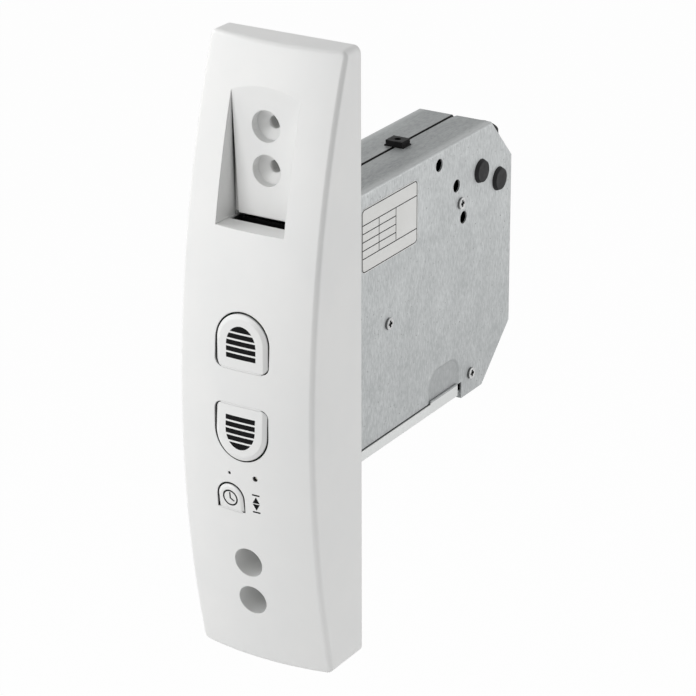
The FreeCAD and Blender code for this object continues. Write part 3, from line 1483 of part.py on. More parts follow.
def motor():
    can = new_body("motor_can", y="motor_y")
    slab(can, "XY", "motor_low_z", "motor_top_z", disc("0", "0", "motor_diameter"))
    slab(can, "XY", "motor_top_z", "motor_top_z + motor_boss_height", disc("0", "0", "motor_boss"))
    inside = "motor_diameter - 2 * motor_wall"
    cut(can, "XY", "motor_low_z", "motor_top_z - motor_wall", disc("0", "0", inside))
    shaft_hole = disc("0", "0", "motor_shaft_diameter + 2 * running_gap")
    cut(can, "XY", "motor_low_z", "motor_top_z + motor_boss_height", shaft_hole)
    radius = "motor_screw_circle / 2"
    pilots = [disc("0", radius, "motor_screw - 0.5"), disc("0", f"-{radius}", "motor_screw - 0.5")]
    cut(can, "XY", "motor_top_z - motor_wall", "motor_top_z", *pilots)

    cap = new_body("motor_end_cap", y="motor_y")
    slab(cap, "XY", "cap_low_z", "motor_low_z", disc("0", "0", "motor_diameter"))
    slab(cap, "XY", "motor_low_z", "motor_low_z + 2", disc("0", "0", inside))
    cut(cap, "XY", "cap_low_z", "motor_low_z + 2", shaft_hole)
    leg_y = "-(sensor_magnet_diameter / 2 + sensor_leg / 2)"
    legs = [disc(x, leg_y, "sensor_leg") for x in ("sensor_leg_x", "-sensor_leg_x")]
    slab(cap, "XY", "sensor_board_z", "cap_low_z", *legs)
    cut(cap, "XY", "cap_low_z", "motor_low_z + 2", *terminal_outlines())

    magnets = new_body("field_magnets", y="motor_y")
    low = "(motor_low_z + motor_length / 2 - magnet_length / 2)"
    slab(magnets, "XY", low, f"{low} + magnet_length", disc("0", "0", inside))
    core = disc("0", "0", f"{inside} - 2 * magnet_thickness")
    cut(magnets, "XY", low, f"{low} + magnet_length", core)
    gap = rect(f"-{inside}", inside, "-magnet_gap / 2", "magnet_gap / 2")
    cut(magnets, "XY", low, f"{low} + magnet_length", gap)

    armature = new_body("motor_armature", y="motor_y")
    base = "(motor_low_z + motor_length / 2 - armature_length / 2)"
    slab(armature, "XY", base, f"{base} + armature_length", disc("0", "0", "armature_diameter"))
    slab(armature, "XY", f"{base} - commutator_length", base, disc("0", "0", "commutator_diameter"))
    slot = rect("armature_diameter / 4", "armature_diameter / 2 + 1", "-armature_slot / 2", "armature_slot / 2")
    window = cut(armature, "XY", base, f"{base} + armature_length", slot)
    pattern = armature.newObject("PartDesign::PolarPattern", "armature_slots")
    pattern.Originals = [window]
    axis = [line for line in armature.Origin.OriginFeatures if line.Role == "Z_Axis"]
    pattern.Axis = (axis[0], [""])
    pattern.Angle = 360
    pattern.Occurrences = 3
    armature.Tip = pattern
    bore = disc("0", "0", "motor_shaft_diameter")
    cut(armature, "XY", f"{base} - commutator_length", f"{base} + armature_length", bore)

    shaft = new_body("motor_shaft", y="motor_y")
    slab(shaft, "XY", "sensor_magnet_z", "bracket_top_z - bracket_sheet / 2", disc("0", "0", "motor_shaft_diameter"))

    terminals = new_body("motor_terminals", y="motor_y")
    slab(terminals, "XY", "cap_low_z - terminal_length + 2", "motor_low_z + 2", *terminal_outlines())

    magnet = new_body("sensor_magnet", y="motor_y")
    high = "sensor_magnet_z + sensor_magnet_height"
    slab(magnet, "XY", "sensor_magnet_z", high, disc("0", "0", "sensor_magnet_diameter"))
    cut(magnet, "XY", "sensor_magnet_z", high, disc("0", "0", "motor_shaft_diameter"))

    board = new_body("sensor_board", y="motor_y")
    half = "sensor_board_side / 2"
    outline = rect(f"-{half}", half, f"-{half}", half)
    slab(board, "XY", "sensor_board_z - board_thickness * 0.75", "sensor_board_z", outline)
    chip = rect("-1.5", "1.5", "-2", "2")
    slab(board, "XY", "sensor_board_z", "sensor_board_z + 0.9", chip)


def terminal_outlines():
    """Two flat contacts at the front of the motor's end cap."""
    half_wide = "terminal_width / 2"
    half_thick = "terminal_thickness / 2"
    row = "-(motor_diameter / 2 - 5)"
    return [
        rect(f"{x} - {half_wide}", f"{x} + {half_wide}", f"{row} - {half_thick}", f"{row} + {half_thick}")
        for x in ("terminal_x", "-terminal_x")
    ]


def motor_bracket():
    """A folded bracket on the left side plate that holds the motor and the end of its shaft."""
    body = new_body("motor_bracket", y="motor_y")
    wall = "-box_inner_x"
    inner = "(-box_inner_x + bracket_sheet)"
    outline = polygon(
        (wall, "motor_top_z"),
        ("bracket_right_x", "motor_top_z"),
        ("bracket_right_x", "motor_head_z"),
        (inner, "motor_head_z"),
        (inner, "bracket_top_z - bracket_sheet"),
        ("bracket_top_x", "bracket_top_z - bracket_sheet"),
        ("bracket_top_x", "bracket_top_z"),
        (wall, "bracket_top_z"),
    )
    half = "bracket_width / 2"
    slab(body, "XZ", f"-{half}", half, outline)
    radius = "motor_screw_circle / 2"
    holes = [disc("0", radius, "motor_screw + 0.3"), disc("0", f"-{radius}", "motor_screw + 0.3")]
    cut(body, "XY", "motor_top_z", "motor_head_z", disc("0", "0", "motor_boss + 0.2"), *holes)
    cut(body, "XY", "bracket_top_z - bracket_sheet", "bracket_top_z", disc("0", "0", "bearing_diameter"))

    bearing = new_body("worm_bearing", y="motor_y")
    under = "bracket_top_z - bracket_sheet"
    slab(bearing, "XY", under, "bracket_top_z", disc("0", "0", "bearing_diameter"))
    slab(bearing, "XY", f"{under} - 1.5", under, disc("0", "0", "bearing_flange"))
    bore = disc("0", "0", "motor_shaft_diameter + 2 * running_gap")
    cut(bearing, "XY", f"{under} - 1.5", "bracket_top_z", bore)

    screws = new_body("motor_screws", y="motor_y")
    heads = [disc("0", radius, "motor_screw * 1.8"), disc("0", f"-{radius}", "motor_screw * 1.8")]
    shanks = [disc("0", radius, "motor_screw - 0.5"), disc("0", f"-{radius}", "motor_screw - 0.5")]
    slab(screws, "XY", "motor_head_z", "motor_head_z + motor_screw / 2", *heads)
    slab(screws, "XY", "motor_top_z - motor_wall", "motor_head_z", *shanks)


# Leads and inlet

def lead(label, x, diameter, route):
    """A round lead in a plane of constant X, along straight runs joined by arcs."""
    points = [vector(value(x), value(y), value(z)) for y, z in route]
    bend = value("lead_bend")
    edges = []
    here = points[0]
    for before, corner, after in zip(points, points[1:], points[2:]):
        back = (before - corner).normalize()
        ahead = (after - corner).normalize()
        half_turn = back.getAngle(ahead) / 2
        reach = bend / math.tan(half_turn)
        enter = corner + back * reach
        leave = corner + ahead * reach
        bisector = (back + ahead).normalize()
        centre = corner + bisector * (bend / math.sin(half_turn))
        top = centre - bisector * bend
        edges.append(Part.LineSegment(here, enter).toShape())
        edges.append(Part.Arc(enter, top, leave).toShape())
        here = leave
    edges.append(Part.LineSegment(here, points[-1]).toShape())
    spine = Part.Wire(edges)
    section = Part.Wire(Part.makeCircle(value(diameter) / 2, points[0], points[1] - points[0]))
    piece = doc.addObject("Part::Feature", label)
    piece.Label = label
    piece.Shape = spine.makePipeShell([section], True, False)
    piece.Placement = FreeCAD.Placement()
    PIECES.append(piece)
    area = math.pi * value(diameter) ** 2 / 4
    print(f"{label}: volume {piece.Shape.Volume:.2f}, section times length {area * spine.Length:.2f}")


def leads():
    """Each lead starts level at its device, slopes down under the spool and runs along the floor."""
    socket_y = "board_back_y + connector_depth"
    motor_end = "motor_y - motor_diameter / 2 + 5 - terminal_thickness / 2"
    sensor_end = "motor_y - sensor_board_side / 2 + 2"
    level = "(lead_bend * tan(lead_slope / 2) + 3)"
    devices = [
        ("motor_lead", "lead_x", "lead_diameter", motor_end, "cap_low_z - lead_diameter / 2 - 0.3"),
        (
            "sensor_lead",
            "-sensor_lead_x",
            "sensor_lead_diameter",
            sensor_end,
            "sensor_board_z + sensor_lead_diameter / 2",
        ),
    ]
    for label, x, diameter, end_y, end_z in devices:
        corner_y = f"{end_y} - {level}"
        foot_y = f"{corner_y} - ({end_z} - lead_z) / tan(lead_slope)"
        route = [(end_y, end_z), (corner_y, end_z), (foot_y, "lead_z"), (socket_y, "lead_z")]
        lead(label, x, diameter, route)
    lead(
        "power_lead",
        "0",
        "lead_diameter",
        [("inlet_y - inlet_depth / 2", "power_lead_z"), (socket_y, "power_lead_z")],
    )


def power_socket():
    """The low-voltage inlet in the floor of the housing, with its centre pin."""
    body = new_body("power_socket", y="inlet_y", z="box_floor_z + sheet")
    half_wide = "inlet_width / 2"
    half_deep = "inlet_depth / 2"
    block = rect(f"-{half_wide}", half_wide, f"-{half_deep}", half_deep)
    slab(body, "XY", "0", "inlet_height", block)
    low = "(-sheet - inlet_collar_height)"
    slab(body, "XY", low, "0", disc("0", "0", "inlet_collar"))
    cut(body, "XY", low, f"{low} + inlet_bore_depth", disc("0", "0", "inlet_bore"))
    slab(body, "XY", f"{low} + 1", f"{low} + inlet_bore_depth", disc("0", "0", "inlet_pin"))


def check_and_write():
    """Stop if any object failed or any cut took nothing away, then write every piece."""
    doc.recompute()
    for item in doc.Objects:
        faults = [state for state in item.State if state in ("Invalid", "Error")]
        if faults:
            raise RuntimeError(f"{item.Label}: {faults}")
        if item.TypeId in ("PartDesign::Pocket", "PartDesign::Groove"):
            taken = item.BaseFeature.Shape.Volume - item.Shape.Volume
            if taken < 0.001:
                raise RuntimeError(f"{item.Label} cuts nothing")
    labels = [piece.Label for piece in PIECES]
    if len(set(labels)) != len(labels):
        raise RuntimeError("two pieces share a name")
    for piece in PIECES:
        shape = piece.Shape
        if shape.isNull() or not shape.isValid():
            raise RuntimeError(f"{piece.Label}: bad shape")
        shape.exportStep(f"parts/{piece.Label}.step")
        print(f"{piece.Label}: {len(shape.Solids)} solids, volume {shape.Volume:.1f}")


front_cover()
buttons()
base_frame()
slot_guide()
guide_roller()
control_board()
switches()
status_light()
board_parts()
board_screws()
right_shell()
left_shell()
tab_screws()
side_screws("right_screws", "")
side_screws("left_screws", "-")
axle("spool_axle", "spool_y", "spool_z", "spool_axle_diameter")
axle("drive_axle", "drive_y", "drive_z", "drive_axle_diameter")
axle("rear_pillar", "pillar_y", "pillar_z", "pillar_diameter")
rubber_plugs()
seam_clip()
rating_label()
belt_spool()
spool_gear()
spool_screws()
spool_bushes()
worm_wheel()
drive_gear()
drive_gear_bore()
worm()
motor()
motor_bracket()
leads()
power_socket()
check_and_write()
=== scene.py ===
import json
import math

import bmesh
import bpy
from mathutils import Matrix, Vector


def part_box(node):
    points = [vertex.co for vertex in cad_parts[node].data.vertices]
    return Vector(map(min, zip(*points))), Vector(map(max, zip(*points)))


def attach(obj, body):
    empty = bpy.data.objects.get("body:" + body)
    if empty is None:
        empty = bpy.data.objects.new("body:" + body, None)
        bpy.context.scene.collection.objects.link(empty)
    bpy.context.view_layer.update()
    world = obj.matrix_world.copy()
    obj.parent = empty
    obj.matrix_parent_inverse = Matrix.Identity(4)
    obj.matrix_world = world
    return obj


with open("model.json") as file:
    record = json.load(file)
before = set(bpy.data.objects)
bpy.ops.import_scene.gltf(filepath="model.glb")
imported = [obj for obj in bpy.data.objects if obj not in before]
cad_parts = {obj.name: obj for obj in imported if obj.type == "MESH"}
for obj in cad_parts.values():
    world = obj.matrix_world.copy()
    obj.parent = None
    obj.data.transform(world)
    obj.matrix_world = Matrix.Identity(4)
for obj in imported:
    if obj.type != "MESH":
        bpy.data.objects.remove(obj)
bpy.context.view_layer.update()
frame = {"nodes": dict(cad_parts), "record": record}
MM = 0.001


# Camera, placed where the photograph was taken from.

CAMERA_PLACE = (0.6254, -0.9750, 0.4809)
CAMERA_AIM = (0.02564, 0.0, 0.00546)
CAMERA_ROLL = -0.19
CAMERA_LENS = 158.07


def add_camera():
    data = bpy.data.cameras.new("camera")
    data.lens = CAMERA_LENS
    data.sensor_width = 36.0
    camera = bpy.data.objects.new("camera", data)
    sight = Vector(CAMERA_AIM) - Vector(CAMERA_PLACE)
    camera.location = CAMERA_PLACE
    camera.rotation_euler = sight.to_track_quat("-Z", "Y").to_matrix().to_4x4().to_euler()
    camera.rotation_euler.rotate_axis("Z", math.radians(CAMERA_ROLL))
    bpy.context.scene.collection.objects.link(camera)
    bpy.context.scene.camera = camera


# Small helpers that build shader nodes.

class Shader:
    def __init__(self, name):
        self.material = bpy.data.materials.new(name)
        self.material.use_nodes = True
        self.tree = self.material.node_tree
        self.tree.nodes.clear()
        self.out = self.add("ShaderNodeOutputMaterial")
        self.coords = self.add("ShaderNodeTexCoord")

    def add(self, kind, **settings):
        node = self.tree.nodes.new(kind)
        for name, value in settings.items():
            setattr(node, name, value)
        return node

    def link(self, source, target):
        self.tree.links.new(source, target)

    def place(self, stretch=(1.0, 1.0, 1.0)):
        mapping = self.add("ShaderNodeMapping")
        mapping.inputs["Scale"].default_value = stretch
        self.link(self.coords.outputs["Object"], mapping.inputs["Vector"])
        return mapping.outputs["Vector"]

    def noise(self, scale, detail=3.0, roughness=0.5, stretch=(1.0, 1.0, 1.0)):
        node = self.add("ShaderNodeTexNoise")
        node.inputs["Scale"].default_value = scale
        node.inputs["Detail"].default_value = detail
        node.inputs["Roughness"].default_value = roughness
        self.link(self.place(stretch), node.inputs["Vector"])
        return node.outputs["Fac"]

    def range(self, value, low, high, new_low, new_high):
        node = self.add("ShaderNodeMapRange")
        node.inputs["From Min"].default_value = low
        node.inputs["From Max"].default_value = high
        node.inputs["To Min"].default_value = new_low
        node.inputs["To Max"].default_value = new_high
        self.link(value, node.inputs["Value"])
        return node.outputs["Result"]

    def math(self, kind, first, second):
        node = self.add("ShaderNodeMath", operation=kind)
        for socket, value in zip(node.inputs, (first, second)):
            if isinstance(value, (int, float)):
                socket.default_value = value
            else:
                self.link(value, socket)
        return node.outputs["Value"]

    def blend(self, factor, first, second):
        node = self.add("ShaderNodeMix", data_type="RGBA")
        self.link(factor, node.inputs["Factor"])
        for name, value in (("A", first), ("B", second)):
            socket = [s for s in node.inputs if s.name == name and s.type == "RGBA"][0]
            if isinstance(value, tuple):
                socket.default_value = value + (1.0,)
            else:
                self.link(value, socket)
        return [s for s in node.outputs if s.type == "RGBA"][0]

    def open_share(self, distance, closed, clear):
        """Zero deep in a slot narrower than distance, one on an open face: this sets where painted shade
        darkens a colour.
        """
        node = self.add("ShaderNodeAmbientOcclusion", samples=12)
        node.inputs["Distance"].default_value = distance
        return self.range(node.outputs["AO"], closed, clear, 0.0, 1.0)

    def soft_edges(self, radius):
        """Edges that catch the light as if they were rounded to this radius."""
        node = self.add("ShaderNodeBevel", samples=6)
        node.inputs["Radius"].default_value = radius
        return node.outputs["Normal"]

    def bump(self, height, depth, under=None):
        node = self.add("ShaderNodeBump")
        node.inputs["Strength"].default_value = 1.0
        node.inputs["Distance"].default_value = depth
        self.link(height, node.inputs["Height"])
        if under is not None:
            self.link(under, node.inputs["Normal"])
        return node.outputs["Normal"]

    def surface(self, color, roughness, normal, **constants):
        shader = self.add("ShaderNodeBsdfPrincipled")
        self.link(color, shader.inputs["Base Color"])
        self.link(roughness, shader.inputs["Roughness"])
        self.link(normal, shader.inputs["Normal"])
        for name, value in constants.items():
            shader.inputs[name.replace("_", " ")].default_value = value
        self.link(shader.outputs["BSDF"], self.out.inputs["Surface"])
        return self.material


def corner_shade_share(s):
    """Where a painted shade lies: one on the rounded edges between the front and the right side, high up,
    fading towards the foot.
    """
    facing = s.add("ShaderNodeSeparateXYZ")
    s.link(s.coords.outputs["Normal"], facing.inputs["Vector"])
    place = s.add("ShaderNodeSeparateXYZ")
    s.link(s.coords.outputs["Object"], place.inputs["Vector"])
    turned = s.math("MULTIPLY", s.range(facing.outputs["X"], 0.20, 0.50, 0.0, 1.0),
                    s.range(facing.outputs["Y"], -0.50, -0.20, 1.0, 0.0))
    return s.math("MULTIPLY", turned, s.range(place.outputs["Z"], -0.10, 0.115, 0.0, 1.0))


def grained(name, dark, light, tone, rough, grain, depth, stretch=(1.0, 1.0, 1.0), slots=None, edge=None,
            corner=None, **constants):
    """Two tones that drift over tone patches per metre, with a fine bump of grain per metre.

    slots is the width in metres under which a gap gets a painted shade, with the shares of open sky that
    count as closed and clear. edge is the radius of the edges in metres, and corner is how much
    darker a painted shade makes the front's right-hand edges.
    """
    s = Shader(name)
    drift = s.range(s.noise(tone, 4.0, 0.55, stretch), 0.3, 0.7, 0.0, 1.0)
    color = s.blend(drift, dark, light)
    if corner:
        # Painted shade on the rounded edges between the front and the right side.
        color = s.blend(s.math("MULTIPLY", corner_shade_share(s), corner), color, (0.0, 0.0, 0.0))
    if slots:
        # Painted shade: narrow gaps and slots are darkened towards black.
        color = s.blend(s.open_share(*slots), (0.01, 0.01, 0.01), color)
    gloss = s.range(s.noise(tone * 3.0, 3.0, 0.6, stretch), 0.3, 0.7, rough[0], rough[1])
    normal = s.bump(s.noise(grain, 2.0, 0.5, stretch), depth, s.soft_edges(edge) if edge else None)
    return s.surface(color, gloss, normal, **constants)


# Where the shells' details are, in metres: the seam on top, the arch pressed into the right side
# and the outer lip under it.
SEAM_X = -0.0008
SEAM_HALF = 0.00085
ARCH_Y = 0.0910
ARCH_FLAT_HALF = 0.0054
ARCH_TOP_Z = -0.0438
ARCH_ROUND = (0.0072, 0.0082)
SIDE_X = 0.0180
LIP_X = 0.0190
LIP_Z = -0.0500


def galvanised(name, folded):
    """Rolled zinc-coated sheet: streaks along the rolling, cloudy patches, smears on top, dark specks.

    The side is darker towards the foot and the top lighter towards the back.

    A folded shell also has painted shade along its seam and on a pressed arch at the foot of its right side,
    and an outer lip that is lighter than the rest.
    """
    s = Shader(name)
    split = s.add("ShaderNodeSeparateXYZ")
    s.link(s.coords.outputs["Normal"], split.inputs["Vector"])
    lying = s.range(s.math("ABSOLUTE", split.outputs["Z"], 0.0), 0.35, 0.85, 0.0, 1.0)
    place = s.add("ShaderNodeSeparateXYZ")
    s.link(s.coords.outputs["Object"], place.inputs["Vector"])

    upright = s.noise(1.0, 6.0, 0.72, (1300.0, 1300.0, 380.0))
    level = s.noise(1.0, 5.0, 0.70, (1300.0, 300.0, 1300.0))
    streaks = s.add("ShaderNodeMix", data_type="FLOAT")
    s.link(lying, streaks.inputs[0])
    s.link(upright, streaks.inputs[2])
    s.link(level, streaks.inputs[3])
    streak = streaks.outputs[0]
    clouds = s.noise(60.0, 5.0, 0.6)
    tone = s.math("ADD", s.math("MULTIPLY", streak, 0.74), s.math("MULTIPLY", clouds, 0.26))
    # Painted shade: the side darkens towards the foot.
    drift = s.range(place.outputs["Z"], -0.050, 0.045, -0.085, 0.0)
    side = s.blend(s.range(s.math("ADD", tone, drift), 0.36, 0.64, 0.0, 1.0), (0.39, 0.405, 0.408),
                   (0.60, 0.618, 0.62))

    smear_and_shade = s.noise(1.0, 3.0, 0.55, (90.0, 14.0, 90.0))
    smear_and_shade = s.math("ADD", s.math("MULTIPLY", smear_and_shade, 0.55), s.math("MULTIPLY", level, 0.45))
    # Painted shade: the top gets lighter towards the back, over the real smears.
    smear_and_shade = s.math("ADD", smear_and_shade, s.range(place.outputs["Y"], 0.060, 0.110, 0.0, 0.08))
    # Painted shade: the lying faces get darker tones than the upright ones.
    top = s.blend(s.range(smear_and_shade, 0.36, 0.64, 0.0, 1.0), (0.215, 0.225, 0.228), (0.35, 0.365, 0.365))
    # Painted highlight along the folds of the top.
    fold_highlight = s.range(s.math("ABSOLUTE", place.outputs["X"], 0.0), 0.0142, 0.0186, 0.0, 0.75)
    top = s.blend(fold_highlight, top, (0.56, 0.575, 0.575))
    color = s.blend(lying, side, top)

    cells = s.add("ShaderNodeTexVoronoi")
    cells.inputs["Scale"].default_value = 420.0
    s.link(s.coords.outputs["Object"], cells.inputs["Vector"])
    pick = s.add("ShaderNodeSeparateColor")
    s.link(cells.outputs["Color"], pick.inputs["Color"])
    dot = s.math("LESS_THAN", cells.outputs["Distance"], 0.15)
    rare = s.math("GREATER_THAN", pick.outputs["Red"], 0.88)
    speck = s.math("MULTIPLY", s.math("MULTIPLY", dot, rare), s.range(clouds, 0.35, 0.65, 0.1, 0.7))
    color = s.blend(speck, color, (0.10, 0.10, 0.10))
    if folded:
        color = folded_tones(s, color, place)
    # Painted shade: narrow gaps and crevices are darkened towards black.
    color = s.blend(s.open_share(0.0022, 0.20, 0.48), (0.012, 0.012, 0.012), color)
    gloss = s.range(tone, 0.3, 0.7, 0.60, 0.42)
    normal = s.bump(streak, 0.00006, s.soft_edges(0.00025))
    normal = s.bump(s.math("MULTIPLY", speck, -1.0), 0.00004, normal)
    return s.surface(color, gloss, normal, Metallic=0.4)


def folded_tones(s, color, place):
    """The pressed arch and the seam, both as painted shade, and the outer lip, by their place in metres."""
    x, y, z = (place.outputs[axis] for axis in "XYZ")
    right = s.math("GREATER_THAN", x, SIDE_X)
    across = s.math("SUBTRACT", s.math("ABSOLUTE", s.math("SUBTRACT", y, ARCH_Y), 0.0), ARCH_FLAT_HALF)
    across = s.math("MAXIMUM", across, 0.0)
    above = s.math("MAXIMUM", s.math("SUBTRACT", z, ARCH_TOP_Z), 0.0)
    reach = s.math("SQRT", s.math("ADD", s.math("POWER", across, 2.0), s.math("POWER", above, 2.0)), 0.0)
    # Painted shade on the pressed arch, whose tilted face gets less light.
    arch = s.math("MULTIPLY", s.range(reach, *ARCH_ROUND, 0.45, 0.0), right)
    color = s.blend(arch, color, (0.27, 0.28, 0.283))
    lip = s.math("MULTIPLY", s.math("GREATER_THAN", x, LIP_X), s.math("LESS_THAN", z, LIP_Z))
    color = s.blend(s.math("MULTIPLY", lip, 0.7), color, (0.80, 0.81, 0.80))
    # Painted shade: a black band along the seam gap.
    seam = s.math("LESS_THAN", s.math("ABSOLUTE", s.math("SUBTRACT", x, SEAM_X), 0.0), SEAM_HALF)
    return s.blend(seam, color, (0.010, 0.010, 0.010))


def circuit_board():
    """Green solder mask over slightly raised copper tracks."""
    s = Shader("board_green")
    cells = s.add("ShaderNodeTexVoronoi", distance="MANHATTAN", feature="F1")
    cells.inputs["Scale"].default_value = 260.0
    cells.inputs["Randomness"].default_value = 0.9
    s.link(s.coords.outputs["Object"], cells.inputs["Vector"])
    bands = s.math("FRACT", s.math("MULTIPLY", cells.outputs["Distance"], 3.0), 0.0)
    track = s.math("GREATER_THAN", bands, 0.6)
    mask = s.blend(track, (0.012, 0.16, 0.05), (0.03, 0.27, 0.09))
    color = s.blend(s.range(s.noise(400.0), 0.35, 0.65, 0.0, 0.25), mask, (0.01, 0.10, 0.04))
    gloss = s.range(s.noise(900.0), 0.3, 0.7, 0.28, 0.42)
    return s.surface(color, gloss, s.bump(track, 0.00003))


# One finish for each material slot of the record.

def make_finishes():
    finish = {}
    # The cover gets painted shade in its slots and on its right-hand edges.
    finish["cover_white"] = grained(
        "cover_white", (0.785, 0.79, 0.785), (0.82, 0.82, 0.81), 28.0, (0.36, 0.44), 3200.0, 0.000012,
        slots=(0.0030, 0.27, 0.50), edge=0.0006, corner=0.20, IOR=1.5)
    finish["frame_plastic"] = grained(
        "frame_plastic", (0.60, 0.60, 0.59), (0.66, 0.66, 0.65), 40.0, (0.42, 0.55), 2400.0, 0.00002)
    finish["black_plastic"] = grained(
        "black_plastic", (0.003, 0.003, 0.0033), (0.007, 0.007, 0.0075), 120.0, (0.42, 0.58), 2600.0,
        0.00002, edge=0.0002, Specular_IOR_Level=0.10)
    finish["natural_plastic"] = grained(
        "natural_plastic", (0.72, 0.69, 0.60), (0.80, 0.77, 0.69), 60.0, (0.30, 0.44), 1800.0, 0.00001,
        Subsurface_Weight=0.06)
    finish["board_green"] = circuit_board()
    finish["led_green"] = grained(
        "led_green", (0.02, 0.42, 0.08), (0.05, 0.60, 0.14), 500.0, (0.10, 0.18), 2000.0, 0.000004,
        Transmission_Weight=0.4)
    # The near-black tint of the clear plastic is painted shade, so that the light hole it sits in reads
    # dark.
    finish["clear_plastic"] = grained(
        "clear_plastic", (0.05, 0.055, 0.055), (0.08, 0.085, 0.085), 200.0, (0.10, 0.18), 1500.0, 0.000004,
        Transmission_Weight=0.7, IOR=1.49, Specular_IOR_Level=0.2)
    finish["capacitor_sleeve"] = grained(
        "capacitor_sleeve", (0.010, 0.014, 0.045), (0.018, 0.024, 0.075), 150.0, (0.22, 0.34), 1600.0,
        0.00001)
    finish["galvanised_sheet"] = galvanised("galvanised_sheet", True)
    finish["motor_bracket"] = galvanised("galvanised_bracket", False)
    # The screws get painted shade in their recesses and narrow gaps.
    finish["zinc_plated"] = grained(
        "zinc_plated", (0.44, 0.445, 0.45), (0.66, 0.665, 0.66), 420.0, (0.22, 0.38), 2600.0, 0.000008,
        slots=(0.0022, 0.45, 0.95), edge=0.0002, Metallic=0.8)
    finish["bright_steel"] = grained(
        "bright_steel", (0.50, 0.50, 0.51), (0.66, 0.66, 0.66), 300.0, (0.18, 0.32), 2200.0, 0.000006,
        (0.15, 1.0, 1.0), Metallic=1.0)
    finish["iron_core"] = grained(
        "iron_core", (0.10, 0.095, 0.09), (0.20, 0.19, 0.18), 250.0, (0.42, 0.60), 1.6, 0.00004,
        (1.0, 1.0, 1300.0), Metallic=0.8)
    finish["ferrite"] = grained(
        "ferrite", (0.035, 0.035, 0.038), (0.065, 0.065, 0.068), 300.0, (0.55, 0.70), 2400.0, 0.00003)
    finish["bronze"] = grained(
        "bronze", (0.42, 0.25, 0.10), (0.60, 0.39, 0.17), 350.0, (0.34, 0.48), 3000.0, 0.000015,
        Metallic=0.9)
    finish["black_rubber"] = grained(
        "black_rubber", (0.011, 0.011, 0.0115), (0.022, 0.022, 0.023), 160.0, (0.58, 0.74), 2800.0,
        0.00002, edge=0.0002, Specular_IOR_Level=0.25)
    finish["label_film"] = grained(
        "label_film", (0.76, 0.76, 0.74), (0.80, 0.80, 0.785), 70.0, (0.28, 0.36), 1400.0, 0.000005)
    finish["lead_insulation"] = grained(
        "lead_insulation", (0.020, 0.020, 0.022), (0.036, 0.036, 0.038), 200.0, (0.40, 0.54), 1500.0,
        0.00001)
    return finish


def dress_nodes(finish):
    for part in frame["record"]["subparts"]:
        body = frame["nodes"][part["node"]]
        look = finish.get(part["node"], finish[part["material_slot"]])
        if not body.data.materials:
            body.data.materials.append(look)
        for index in range(len(body.data.materials)):
            body.data.materials[index] = look


# Printed marks. Each is a thin closed sheet of ink that follows the face under it.

# The bow's axis, as Y and Z in millimetres: the cover's own, and each flap's, which tilts it.
BOWS = {
    "cover": (415.0, -22.2),
    "up_button": (415.771, 4.245),
    "down_button": (413.572, -48.617),
    "clock_button": (411.41, 8.95),
}
BAR_HALF = 7.0
BAR_SPANS = ((9.05, 11.10), (11.91, 13.96), (14.77, 16.82), (17.63, 19.68), (20.49, 23.14))
# The two shutter marks mirror each other about this height.
MARK_MIDDLE = -3.25
CLOCK_X, CLOCK_Z = -6.2, -53.1
CLOCK_STROKE = 0.68
STOP_X = 6.15
STOP_BARS = (-49.25, -57.05)
STOP_ARROWS = ((-52.95, -50.10, False), (-56.20, -53.35, True))
INK_LIFT = 0.04
SKIN_LIFT = 0.012
SKIN_DEPTH = 0.15
SKIN_REACH = 0.45


def front_face(x, z, bow):
    """Y of a bowed and crowned front at a place, in millimetres."""
    axis_y, axis_z = BOWS[bow]
    return axis_y - math.sqrt((326.0 + math.sqrt(130.0 ** 2 - x ** 2)) ** 2 - (z - axis_z) ** 2)


def ink_sheet(shape, rows, lay, closed=False):
    """Adds one sheet to shape. rows is a grid of flat points, lay puts a point at a height."""
    tops = [[shape.verts.new(lay(p, 1.0)) for p in row] for row in rows]
    feet = [[shape.verts.new(lay(p, 0.0)) for p in row] for row in rows]
    across = len(rows[0])
    for i in range(len(rows) if closed else len(rows) - 1):
        j = (i + 1) % len(rows)
        for k in range(across - 1):
            shape.faces.new((tops[i][k], tops[i][k + 1], tops[j][k + 1], tops[j][k]))
            shape.faces.new((feet[j][k], feet[j][k + 1], feet[i][k + 1], feet[i][k]))
        for k in (0, across - 1):
            shape.faces.new((tops[i][k], tops[j][k], feet[j][k], feet[i][k]))
    if not closed:
        for i in (0, len(rows) - 1):
            for k in range(across - 1):
                shape.faces.new((tops[i][k], tops[i][k + 1], feet[i][k + 1], feet[i][k]))


def ink_piece(name, shape, body, finish):
    bmesh.ops.remove_doubles(shape, verts=shape.verts, dist=0.000002)
    bmesh.ops.dissolve_degenerate(shape, edges=shape.edges, dist=0.000002)
    bmesh.ops.recalc_face_normals(shape, faces=shape.faces)
    mesh = bpy.data.meshes.new(name)
    shape.to_mesh(mesh)
    shape.free()
    mesh.materials.append(finish)
    piece = bpy.data.objects.new(name, mesh)
    bpy.context.scene.collection.objects.link(piece)
    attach(piece, body)
    return piece


def on_front(bow):
    def lay(point, top):
        x, z = point
        y = front_face(x, z, bow) - (INK_LIFT if top else -0.05)
        return Vector((x, y, z)) * MM
    return lay


def level_rows(low, high, half, middle, count, columns, upside_down):
    """A band between two heights, as wide at each height as half() says."""
    rows = []
    for i in range(count + 1):
        z = low + (high - low) * i / count
        reach = half(z)
        height = 2.0 * MARK_MIDDLE - z if upside_down else z
        rows.append([(middle - reach + 2.0 * reach * k / columns, height) for k in range(columns + 1)])
    return rows


def shutter_half(z):
    """Half width of the arch-topped mark at a height."""
    share = min(1.0, max(0.0, (z - 14.6) / 8.55))
    return max(0.02, BAR_HALF * math.sqrt(1.0 - share ** 2))


